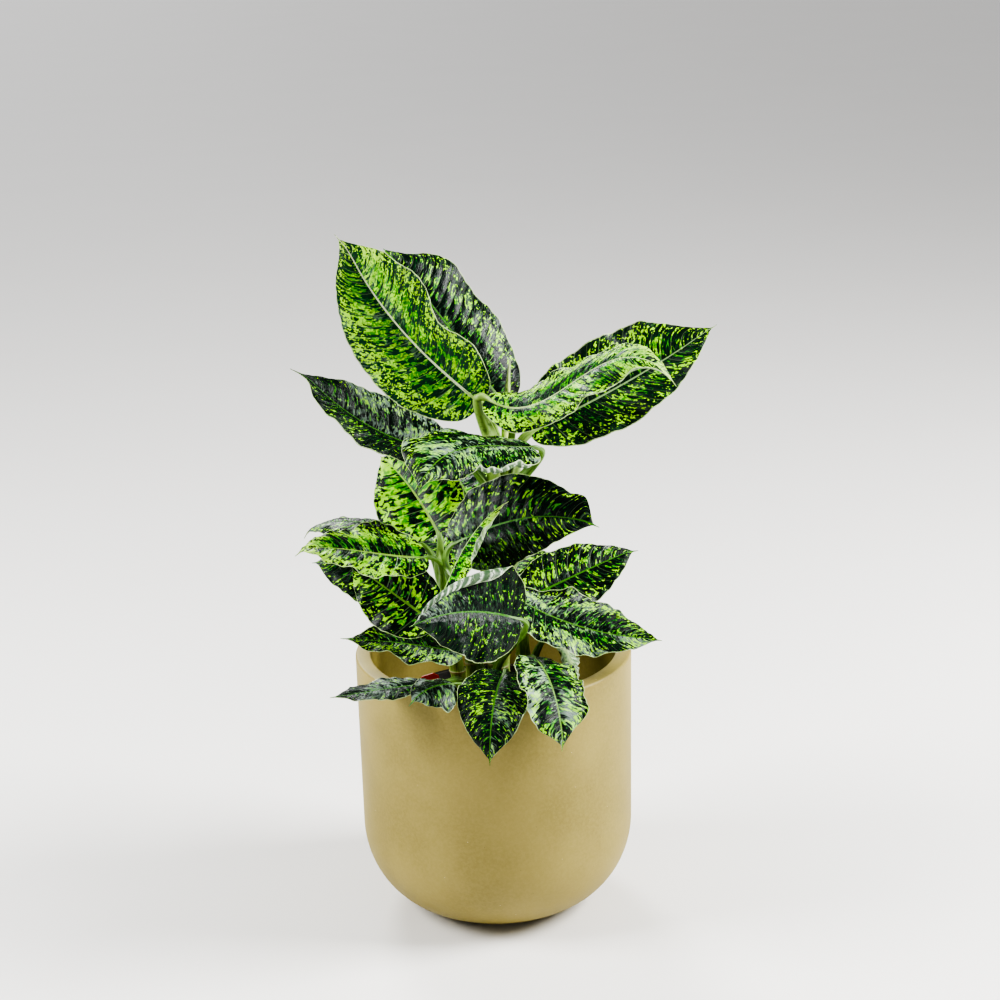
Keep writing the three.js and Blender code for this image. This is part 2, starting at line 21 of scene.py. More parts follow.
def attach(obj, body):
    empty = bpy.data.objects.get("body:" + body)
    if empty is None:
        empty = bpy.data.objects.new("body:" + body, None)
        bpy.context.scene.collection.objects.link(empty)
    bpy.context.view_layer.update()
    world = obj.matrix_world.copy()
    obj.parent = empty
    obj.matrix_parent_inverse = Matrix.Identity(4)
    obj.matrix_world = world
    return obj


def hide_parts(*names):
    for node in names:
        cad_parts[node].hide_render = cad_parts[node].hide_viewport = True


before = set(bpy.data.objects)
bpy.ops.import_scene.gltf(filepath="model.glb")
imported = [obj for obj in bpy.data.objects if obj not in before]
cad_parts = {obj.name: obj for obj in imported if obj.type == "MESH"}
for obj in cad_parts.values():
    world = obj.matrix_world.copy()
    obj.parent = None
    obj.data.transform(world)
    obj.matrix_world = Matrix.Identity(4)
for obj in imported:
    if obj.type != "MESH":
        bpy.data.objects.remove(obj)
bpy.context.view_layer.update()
MM = 0.001
print("solids:", len(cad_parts))

# %% [markdown]
# ## The camera
#
# The photograph looks down on the plant by about eighteen degrees, from two metres away, with a fairly
# long lens. The rim and the rounded foot of the planter in the picture fix all of that: a wrong distance
# or tilt would draw the rim's oval too flat or too open. The picture also leans by a degree and a half.

# %% Place the camera
SIGHT = dict(target=(9.4, 0, 382.7), distance=2000, down=0.3126, lean=-0.0252, lens=81)


def put_in_scene(name, data):
    """A new object that shows this mesh, lamp or camera."""
    thing = bpy.data.objects.new(name, data)
    bpy.context.scene.collection.objects.link(thing)
    return thing


def place_camera(sight):
    """A camera on the -Y side that looks at the target from above, leaning a little."""
    down, lean = sight["down"], sight["lean"]
    back = Vector((0, -math.cos(down), math.sin(down)))
    spot = Vector(sight["target"]) + back * sight["distance"]
    level = Vector((1, 0, 0))
    upright = back.cross(level)
    right = level * math.cos(lean) + upright * math.sin(lean)
    above = upright * math.cos(lean) - level * math.sin(lean)
    camera = put_in_scene("camera", bpy.data.cameras.new("camera"))
    camera.data.lens = sight["lens"]
    camera.data.sensor_width = 36
    camera.data.clip_end = 100
    facing = Matrix((right, above, back)).transposed().to_4x4()
    camera.matrix_world = Matrix.Translation(spot * MM) @ facing
    bpy.context.scene.camera = camera
    return spot


print("camera at", [round(c) for c in place_camera(SIGHT)], "mm")

# %% [markdown]
# ## Shader maths that reads like maths
#
# A finish is a recipe: "lime where the streaks are strong, dark elsewhere". Wiring that node by node is
# slow to read, so a small class wraps the output of a node. Adding, scaling or subtracting two of these
# makes the Math node that does it. Places and directions go through Vector Math, because a Math node
# would keep only one number of them. Every other node comes from one method, `add`.

# %% A wrapped socket and a finish
def both_ways(operation):
    """Two methods, for the wire as the first and as the second value of the sum."""
    return (
        lambda wire, other: wire.sum_of(operation, wire, other),
        lambda wire, other: wire.sum_of(operation, other, wire),
    )


class Wire:
    """The output of a node. Python's arithmetic on it adds the nodes that do the sum."""

    def __init__(self, finish, socket):
        self.finish = finish
        self.socket = socket

    def sum_of(self, operation, a, b):
        """The node that works this out, for numbers or, where a wire holds a vector, for vectors."""
        kinds = [s.socket.type for s in (a, b) if isinstance(s, Wire)]
        node = "ShaderNodeVectorMath" if "VECTOR" in kinds else "ShaderNodeMath"
        if node == "ShaderNodeVectorMath":
            a, b = [s if isinstance(s, (Wire, tuple)) else (s, s, s) for s in (a, b)]
        return self.finish.add(node, {"operation": operation}, {0: a, 1: b})

    __add__, __radd__ = both_ways("ADD")
    __sub__, __rsub__ = both_ways("SUBTRACT")
    __mul__, __rmul__ = both_ways("MULTIPLY")
    __truediv__, __rtruediv__ = both_ways("DIVIDE")


class Finish:
    """A material that is built up one node at a time."""

    def __init__(self, name):
        self.material = bpy.data.materials.new(name)
        self.material.use_nodes = True
        self.tree = self.material.node_tree
        self.tree.nodes.clear()

    def add(self, kind, settings=None, values=None, out=0):
        """A node of this kind: its settings first, then the numbers or wires of its sockets."""
        node = self.tree.nodes.new(kind)
        for key, value in (settings or {}).items():
            setattr(node, key, value)
        for key, value in (values or {}).items():
            if isinstance(value, Wire):
                self.tree.links.new(value.socket, node.inputs[key])
            else:
                node.inputs[key].default_value = value
        return Wire(self, node.outputs[out]) if len(node.outputs) else None

    def close(self, values):
        """Ends the recipe: a Principled shader with these values is what the surface shows."""
        shell = self.add("ShaderNodeBsdfPrincipled", None, values)
        self.add("ShaderNodeOutputMaterial", None, {"Surface": shell})
        print("finish:", self.material.name, len(self.tree.nodes), "nodes")
        return self.material


# %% [markdown]
# ### Words for the recipes
#
# A few nodes come again in each recipe: a soft step, a mix of two colours, noise and a bump. Each gets a
# short name, so that a recipe reads as a list of what lies over what. A node group would share them too,
# but its inside couldn't be read here.

# %% Words that the recipes share
def tint(red, green, blue):
    """A colour as a painter would pick it on screen, 0 to 255, turned into light."""
    shades = (red, green, blue)
    return tuple(((c / 255 + 0.055) / 1.055) ** 2.4 if c > 10 else c / 3294 for c in shades) + (1,)


def ease(value, low, high):
    """0 below low, 1 above high, and a soft step between them."""
    values = {"Value": value, "From Min": low, "From Max": high}
    return value.finish.add("ShaderNodeMapRange", {"interpolation_type": "SMOOTHSTEP"}, values)


def blend(share, first, second):
    """The first colour, turning into the second as share goes from 0 to 1."""
    values = {0: share, 6: first, 7: second}
    return share.finish.add("ShaderNodeMix", {"data_type": "RGBA"}, values, out=2)


def cloud(place, scale=1.0, detail=2.0, rough=0.5, warp=0.0):
    """Soft random patches, 0 to 1, about one unit of place wide at scale 1."""
    values = {"Vector": place, "Scale": scale, "Detail": detail, "Roughness": rough, "Distortion": warp}
    return place.finish.add("ShaderNodeTexNoise", None, values)


def painted(colour, *layers):
    """The colour with others laid over it in turn, each a pair of its share and its tint."""
    for share, over in layers:
        colour = blend(share, colour, over)
    return colour


def relief(height, depth, strength=1.0):
    """A bump: height from 0 to 1 stands for this depth in millimetres."""
    values = {"Height": height, "Distance": depth * MM, "Strength": strength}
    return height.finish.add("ShaderNodeBump", None, values)


def outputs(wire):
    """A wire for each output of the node that this one comes from."""
    return [Wire(wire.finish, socket) for socket in wire.socket.node.outputs]


def object_place(finish):
    """Where a point of the surface is, in millimetres."""
    return finish.add("ShaderNodeTexCoord", out=3) * (1 / MM)


def stored(finish, name, out=1):
    """A vector that the mesh stores at its points."""
    return finish.add("ShaderNodeAttribute", {"attribute_name": name}, out=out)


def stored_number(finish, name):
    return stored(finish, name, out=2)


print("black, mid grey and white as light:", [round(tint(c, c, c)[0], 3) for c in (0, 128, 255)])

# %% [markdown]
# ## Meshes from rings and grids
#
# A planter and a cane are both rings of points joined by quads, and a leaf is a grid of points with a top
# and an underside. Small helpers make the mesh objects, so that each piece below only has to say where
# its points are. Smooth shading with a limit on the angle keeps the real edges crisp.

# %% Helpers that make mesh objects
LEVEL = np.eye(3)[:2]


def new_piece(name, points, faces, material, crease=50):
    """A smooth-shaded mesh object from points in millimetres."""
    mesh = bpy.data.meshes.new(name)
    mesh.from_pydata((np.asarray(points, float) * MM).tolist(), [], faces)
    mesh.validate()
    mesh.shade_smooth()
    mesh.set_sharp_from_angle(angle=math.radians(crease))
    mesh.materials.append(material)
    return put_in_scene(name, mesh)


def store(piece, name, values):
    """Keeps a number or a vector with each point of a mesh, for its material to read."""
    values = np.asarray(values, np.float32)
    kind, field = ("FLOAT_VECTOR", "vector") if values.ndim > 1 else ("FLOAT", "value")
    piece.data.attributes.new(name, kind, "POINT").data.foreach_set(field, values.ravel())


def stand_for(piece, node):
    """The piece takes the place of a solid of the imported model."""
    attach(piece, "root")
    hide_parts(node)


def tube_faces(rings, sides):
    """Quads between rings of points, and one face over each end."""
    faces = []
    for here in range(0, (rings - 1) * sides, sides):
        there = here + sides
        for s in range(sides):
            n = (s + 1) % sides
            faces.append((here + s, here + n, there + n, there + s))
    return faces + [tuple(reversed(range(sides))), tuple(range((rings - 1) * sides, rings * sides))]


def sweep(line, first, second, radii):
    """Points and faces of rings round a line: radii has a row for each ring and a column for each side."""
    angles = 2 * np.pi * np.arange(radii.shape[1]) / radii.shape[1]
    ahead, aside = (radii * np.cos(angles))[..., None], (radii * np.sin(angles))[..., None]
    points = np.asarray(line, float)[:, None] + first * ahead + second * aside
    return points.reshape(-1, 3), tube_faces(*radii.shape)


def turn(profile, sides):
    """Points and faces of a profile of (radius, height) spun once about the upright axis."""
    radii = np.array([[radius] * sides for radius, _ in profile])
    return sweep([(0, 0, height) for _, height in profile], *LEVEL, radii)


def arc(centre, radius, start, stop, steps):
    """Points of a circle's arc in a profile, between two angles in degrees."""
    angles = [math.radians(start + (stop - start) * i / steps) for i in range(steps + 1)]
    return [(centre[0] + radius * math.cos(a), centre[1] + radius * math.sin(a)) for a in angles]


# %% [markdown]
# ## The planter
#
# A moulded plastic planter: a nearly upright wall, a flat lip with softly rounded edges, a foot that is
# rounded in one wide sweep and a small flat base. Everything about it is round, so one profile is drawn
# and spun. Modelling half the profile by hand and using a Screw modifier would do as well, but with the
# points in a list each radius can be read and changed.

# %% Draw the planter's profile
PLANTER = dict(height=242, rim=125, draft=1, lip=14, rise=79, base=56, inner_base=62, floor=12, wall=12)
PLANTER_EDGE = dict(outer=2.2, inner=1.6)
PLANTER_SIDES = 160


def foot_curve(base, wall, bottom, rise, steps=28):
    """The rounded foot: a quarter of an oval from the flat base up to the wall."""
    angles = [math.pi / 2 * i / steps for i in range(steps + 1)]
    return [(base + (wall - base) * math.sin(a), bottom + rise * (1 - math.cos(a))) for a in angles]


def planter_profile(p):
    wall = p["rim"] - p["draft"]
    outer = foot_curve(p["base"], wall, 0, p["rise"])
    inner = foot_curve(p["inner_base"], wall - p["wall"], p["floor"], p["rise"])
    big, small = PLANTER_EDGE["outer"], PLANTER_EDGE["inner"]
    outer_edge = arc((p["rim"] - big, p["height"] - big), big, 0, 90, 6)
    inner_edge = arc((p["rim"] - p["lip"] + small, p["height"] - small), small, 90, 180, 5)
    return [(1, 0), *outer, *outer_edge, *inner_edge, *reversed(inner), (1, p["floor"])]


profile = planter_profile(PLANTER)
print("planter profile:", len(profile), "points")

# %% [markdown]
# ### The planter's finish
#
# Matt plastic in an olive sand colour. Close up it isn't one colour: it has clouds a little warmer and a
# little greener, fine dark and pale specks, and a skin like very fine orange peel that spreads the light.
# So the colour comes from broad noise with specks on top, and the skin is a shallow bump. The specks are
# the middles of Voronoi cells, and a random number for each of them decides which is dark or pale.

# %% Matt sand plastic
def sand_plastic():
    finish = Finish("planter_sand")
    place = object_place(finish)
    broad = cloud(place, scale=0.012, detail=3)
    fine = cloud(place, scale=0.35, detail=4, rough=0.7)
    cells = finish.add("ShaderNodeTexVoronoi", None, {"Vector": place, "Scale": 0.14, "Randomness": 1.0})
    away, _, middle, *_ = outputs(cells)
    chance = finish.add("ShaderNodeTexWhiteNoise", None, {"Vector": middle})
    dot = 1 - ease(away, 0.035, 0.07)
    return finish.close({
        "Base Color": painted(
            blend(ease(broad, 0.35, 0.65), tint(130, 117, 58), tint(144, 130, 69)),
            (ease(fine, 0.3, 0.75) * 0.35, tint(163, 148, 88)),
            (dot * ease(chance, 0.82, 0.84) * 0.55, tint(84, 70, 36)),
            (dot * (1 - ease(chance, 0.14, 0.16)) * 0.6, tint(218, 206, 160)),
        ),
        "Roughness": 0.46 + fine * 0.14,
        "Specular IOR Level": 0.4,
        "Normal": relief(cloud(place, scale=0.9, detail=3, rough=0.6), 0.12, 0.5),
    })


planter = new_piece("planter_shell", *turn(profile, PLANTER_SIDES), sand_plastic(), crease=40)
stand_for(planter, "planter")
print("planter faces:", len(planter.data.polygons))

# %% [markdown]
# ## The grower's pot
#
# Plants are sold in a thin black pot, which stands inside the handsome one. Only its rim and the top of
# its wall can be seen, from above and behind. It has a thin wall with a small rolled lip, and it is spun
# like the planter, because the same helper then serves both.

# %% Spin the grower's pot
POT = dict(floor=12.3, height=176, rim=95, base=58, wall=1.8, lip=3, lip_depth=8, edge=0.8, top_edge=1.2)
POT_SIDES = 120


def pot_profile(p):
    top = p["floor"] + p["height"]
    outside = p["rim"] - p["lip"]
    inside = outside - p["wall"]
    small, big = p["edge"], p["top_edge"]
    return [
        (1, p["floor"]),
        (p["base"] - 2, p["floor"]),
        (p["base"], p["floor"] + 2),
        (outside, top - p["lip_depth"] - 0.6),
        *arc((p["rim"] - small, top - p["lip_depth"] + small), small, -90, 0, 4),
        *arc((p["rim"] - big, top - big), big, 0, 90, 4),
        *arc((inside + small, top - small), small, 90, 180, 4),
        (p["base"] - p["wall"], p["floor"] + p["wall"]),
        (1, p["floor"] + p["wall"]),
    ]


def black_plastic():
    finish = Finish("pot_black")
    place = object_place(finish)
    dust = cloud(place, scale=0.06, detail=5, rough=0.65)
    return finish.close({
        "Base Color": blend(ease(dust, 0.45, 0.8), tint(20, 20, 19), tint(66, 57, 46)),
        "Roughness": 0.42 + dust * 0.3,
        "Specular IOR Level": 0.25,
        "Normal": relief(cloud(place, scale=0.6), 0.15, 0.4),
    })


nursery = new_piece("grower_pot", *turn(pot_profile(POT), POT_SIDES), black_plastic(), crease=35)
stand_for(nursery, "nursery_pot")
print("grower's pot: rim at", POT["floor"] + POT["height"], "mm")

# %% [markdown]
# ## The soil
#
# Potting mix is dark, damp and lumpy, with chips of bark and a few white grains of perlite. A disc raised
# by noise gives the lumps; the chips and grains are loose bits in the real thing, so they are small solid
# crumbs lying in the surface. They are joined to one mesh, because hundreds of objects would only be slow.

# %% Shape the soil
SOIL = dict(top=179.3, crown=4, radius=87.2, bottom=14.4, bottom_radius=55.4, rings=44, sides=144)
SOIL_LUMPS = ((17, 1.6), (6.5, 1.1), (3, 0.9))


def soil_height(x, y):
    """Height of the lumpy surface at a place, in millimetres."""
    away = math.hypot(x, y) / SOIL["radius"]
    spot = Vector((x, y, 0))
    broad, small, grit = [noise.noise(spot / width) * height for width, height in SOIL_LUMPS]
    return SOIL["top"] + SOIL["crown"] * (1 - away**2) + (broad + small + abs(grit)) * (1 - 0.6 * away**4)


def soil_mesh():
    """Rings from the middle out to the pot's wall, and one at the pot's floor, so the bed is filled."""
    surface = [(SOIL["radius"] * (r + 1) / SOIL["rings"], 0) for r in range(SOIL["rings"])]
    points, faces = turn(surface + [(SOIL["bottom_radius"], SOIL["bottom"])], SOIL["sides"])
    lumpy = points[:-SOIL["sides"]]
    lumpy[:, 2] = [soil_height(x, y) for x, y, _ in lumpy]
    return points, [face[::-1] for face in faces]


def potting_mix():
    finish = Finish("soil_mix")
    place = object_place(finish)
    lumps = cloud(place, scale=0.16, detail=6, rough=0.7)
    fibre = cloud(place, scale=0.7, detail=4, rough=0.7, warp=1.5)
    colour = blend(ease(lumps, 0.35, 0.68), tint(24, 17, 12), tint(70, 50, 35))
    return finish.close({
        "Base Color": blend(ease(fibre, 0.6, 0.72) * 0.6, colour, tint(112, 84, 56)),
        "Roughness": 0.82 + lumps * 0.16,
        "Specular IOR Level": 0.25,
        "Normal": relief(lumps + fibre * 0.6, 2.2, 0.8),
    })


soil = new_piece("soil_bed", *soil_mesh(), potting_mix(), crease=80)
stand_for(soil, "soil")
print("soil faces:", len(soil.data.polygons))

# %% [markdown]
# ### Crumbs on the soil
#
# Each crumb is a dented eight-sided lump, turned and stretched at random from a fixed seed, so that the
# same soil comes out each time. Bark is long and brown, perlite is small, round and nearly white. A
# number stored with each crumb's points, its shade, tells the material which of the two it is.

# %% Scatter bark and perlite
LUMP = [(0, 0, 1), (1, 0, 0.1), (0, 1, -0.1), (-1, 0, 0.1), (0, -1, -0.1), (0, 0, -1)]
LUMP_FACES = [(0, 1, 2), (0, 2, 3), (0, 3, 4), (0, 4, 1), (5, 2, 1), (5, 3, 2), (5, 4, 3), (5, 1, 4)]
CRUMBS = 620
BARK_SHARE = 0.8
BARK = dict(length=(1.2, 4.2), width=(0.8, 1.8), height=0.7)
PERLITE = (1.1, 1.0, 0.9)


def swing(a, b, angle):
    """Two coordinates, turned by an angle in their plane."""
    return a * math.cos(angle) - b * math.sin(angle), a * math.sin(angle) + b * math.cos(angle)


def scatter_crumbs(seed):
    draw = np.random.default_rng(seed)
    points, faces, shades = [], [], []
    for _ in range(CRUMBS):
        away = SOIL["radius"] * 0.97 * math.sqrt(draw.random())
        angle = 2 * math.pi * draw.random()
        x, y = away * math.cos(angle), away * math.sin(angle)
        bark = draw.random() < BARK_SHARE
        size = PERLITE
        if bark:
            size = (draw.uniform(*BARK["length"]), draw.uniform(*BARK["width"]), BARK["height"])
        size = np.array(size) * draw.uniform(0.7, 1.3)
        turn_by, tip_by = draw.uniform(0, math.pi), draw.uniform(-0.5, 0.5)
        first = len(points)
        for corner in LUMP:
            a, b, c = np.array(corner) * size * draw.uniform(0.75, 1.2, 3)
            a, c = swing(a, c, tip_by)
            a, b = swing(a, b, turn_by)
            points.append((x + a, y + b, soil_height(x, y) + c + 0.2))
            shades.append(draw.uniform(0, 0.7) if bark else 1.0)
        faces += [tuple(first + i for i in face) for face in LUMP_FACES]
    return points, faces, shades


def crumb_finish():
    finish = Finish("soil_crumbs")
    shade = stored_number(finish, "shade")
    bark = blend(shade, tint(38, 26, 18), tint(122, 88, 58))
    colour = blend(ease(shade, 0.8, 0.9), bark, tint(222, 218, 205))
    grain = cloud(object_place(finish), scale=1.2, detail=3)
    return finish.close({
        "Base Color": blend(ease(grain, 0.4, 0.7) * 0.4, colour, tint(60, 46, 34)),
        "Roughness": 0.9,
        "Normal": relief(grain, 0.4, 0.7),
    })


crumb_points, crumb_faces, crumb_shades = scatter_crumbs(seed=7)
crumbs = new_piece("soil_crumbs", crumb_points, crumb_faces, crumb_finish(), crease=20)
store(crumbs, "shade", crumb_shades)
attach(crumbs, "root")
print("crumbs:", len(crumb_faces) // len(LUMP_FACES))

# %% [markdown]
# ## The plant tag
#
# A strip of red plastic pushed into the soil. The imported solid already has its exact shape, so it stays
# and only gets its finish: slightly glossy, with faint scuffs along it and without any lettering.

# %% Red plastic tag
def red_plastic():
    finish = Finish("tag_red")
    place = object_place(finish)
    scuff = cloud(place * (1.0, 1.0, 0.15), scale=0.8, detail=4, rough=0.7)
    return finish.close({
        "Base Color": blend(ease(scuff, 0.5, 0.8) * 0.4, tint(196, 30, 14), tint(226, 74, 48)),
        "Roughness": 0.28 + scuff * 0.25,
        "Normal": relief(scuff, 0.05, 0.4),
    })


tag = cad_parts["plant_tag"]
tag.data.materials.clear()
tag.data.materials.append(red_plastic())

# %% [markdown]
# ## The canes
#
# A dieffenbachia's stem is a smooth green cane with a pale ring at each place where an old leaf fell off.
# The centre line is bowed a little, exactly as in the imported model. Between two rings the cane is
# slightly waisted, and the ring itself is a thin raised collar. The rings could be painted only, but the
# outline shows them against the soil, so they are in the mesh.

# %% Follow each cane
CANE = dict(spacing=20, swell=0.8, taper=0.8, tip=0.4, tip_rise=4, waist=0.35, soil=183.3, foot=139.6)
CANE_DENT = 0.025
RING_SHARES = (0.06, 0.12, 0.22, 0.4, 0.55, 0.7, 0.84, 0.9, 0.94, 0.965, 0.985)
TIP_SHARES = (0.25, 0.5, 0.7, 0.85, 0.95, 1.0)
CANES = {
    "tall": dict(foot=(0, 4), top=(13, 0, 422), bow=(4, 4), radius=9),
    "left": dict(foot=(-26, 2), top=(-40, -22, 322), bow=(-4, 2), radius=7.5),
    "middle": dict(foot=(-20, -28), top=(-22, -44, 306), bow=(2, -2), radius=7),
    "right": dict(foot=(22, -16), top=(26, -30, 268), bow=(2, -2), radius=7.5),
    "front": dict(foot=(4, -44), top=(0, -54, 250), bow=(0, 0), radius=7),
    "back": dict(foot=(6, 34), top=(8, 46, 300), bow=(2, 4), radius=7.5),
}


def cane_centre(cane, height):
    """The middle of the cane at a height: straight below the soil's top, gently bowed above it."""
    t = max(0, (height - CANE["soil"]) / (cane["top"][2] - CANE["soil"]))
    bulge = 4 * t * (1 - t)
    foot, top, bow = cane["foot"], cane["top"], cane["bow"]
    return np.array([foot[i] + (top[i] - foot[i]) * t + bow[i] * bulge for i in (0, 1)] + [height])


def cane_rings(cane):
    """Height and radius of each ring of points, and how far it is from one old leaf to the next."""
    soil, crown, thick = CANE["soil"], cane["top"][2], cane["radius"]
    count = round((crown - soil) / CANE["spacing"])
    gap = (crown - soil) / count
    rings = [(CANE["foot"], thick * 0.94, 0), (soil - 2, thick * 0.97, 0)]
    for i in range(count):
        for share in RING_SHARES:
            radius = thick * (1 + (CANE["taper"] - 1) * (i + share) / count)
            waist = CANE["waist"] * math.sin(math.pi * share)
            flare = CANE["swell"] * max(0, (share - 0.7) / 0.3) ** 3
            rings.append((soil + gap * (i + share), radius - waist + flare, share))
        rings.append((soil + gap * (i + 0.995), radius + CANE["swell"] * 0.4, 1))
    for share in TIP_SHARES:
        radius = thick * (CANE["taper"] - (CANE["taper"] - CANE["tip"]) * share**2)
        rings.append((crown + CANE["tip_rise"] * share, radius, share * 0.5))
    return rings


def cane_mesh(cane, sides=36):
    """A swept tube, a little uneven, and the share of each point."""
    heights, radii, shares = np.array(cane_rings(cane)).T
    middles = [cane_centre(cane, min(height, cane["top"][2])) for height in heights]
    line = [(x, y, height) for (x, y, _), height in zip(middles, heights)]
    angles = [2 * math.pi * s / sides for s in range(sides)]
    around = [(2 * math.cos(a), 2 * math.sin(a)) for a in angles]
    dents = [[noise.noise(Vector((x, y, height / 9))) for x, y in around] for height in heights]
    points, faces = sweep(line, *LEVEL, radii[:, None] * (1 + CANE_DENT * np.array(dents)))
    return points, faces, np.repeat(shares, sides)


print("rings on the tall cane:", sum(share == 1 for _, _, share in cane_rings(CANES["tall"])))

# %% [markdown]
# ### The cane's finish
#
# Green and waxy, with long pale streaks, a brownish band under each ring and brown, corky patches low
# down where the cane is oldest. The share of the way from one ring to the next is stored on the points,
# so that the bands land exactly on the collars whatever the cane's height.

# %% Green cane
def cane_finish():
    finish = Finish("cane_green")
    place = object_place(finish)
    share = stored_number(finish, "share")
    height = finish.add("ShaderNodeSeparateXYZ", None, {0: place}, out=2)
    streak = cloud(place * (1.0, 1.0, 0.12), scale=0.5, detail=4, rough=0.6)
    colour = blend(ease(streak, 0.3, 0.7), tint(74, 104, 40), tint(138, 164, 78))
    colour = blend(ease(share, 0.86, 0.96) * 0.75, colour, tint(168, 150, 104))
    cork = cloud(place, scale=0.16, detail=4, rough=0.65)
    old = (1 - ease(height, 190, 262)) * ease(cork, 0.42, 0.62)
    return finish.close({
        "Base Color": blend(old * 0.7, colour, tint(122, 98, 62)),
        "Roughness": 0.4 + cork * 0.3,
        "Normal": relief(streak + cork, 0.5, 0.5),
    })


cane_green = cane_finish()
for cane_name, cane in CANES.items():
    cane_points, cane_faces, cane_shares = cane_mesh(cane)
    stem = new_piece(f"stem_{cane_name}", cane_points, cane_faces, cane_green, crease=60)
    store(stem, "share", cane_shares)
    stand_for(stem, f"cane_{cane_name}")
print("canes:", len(CANES))
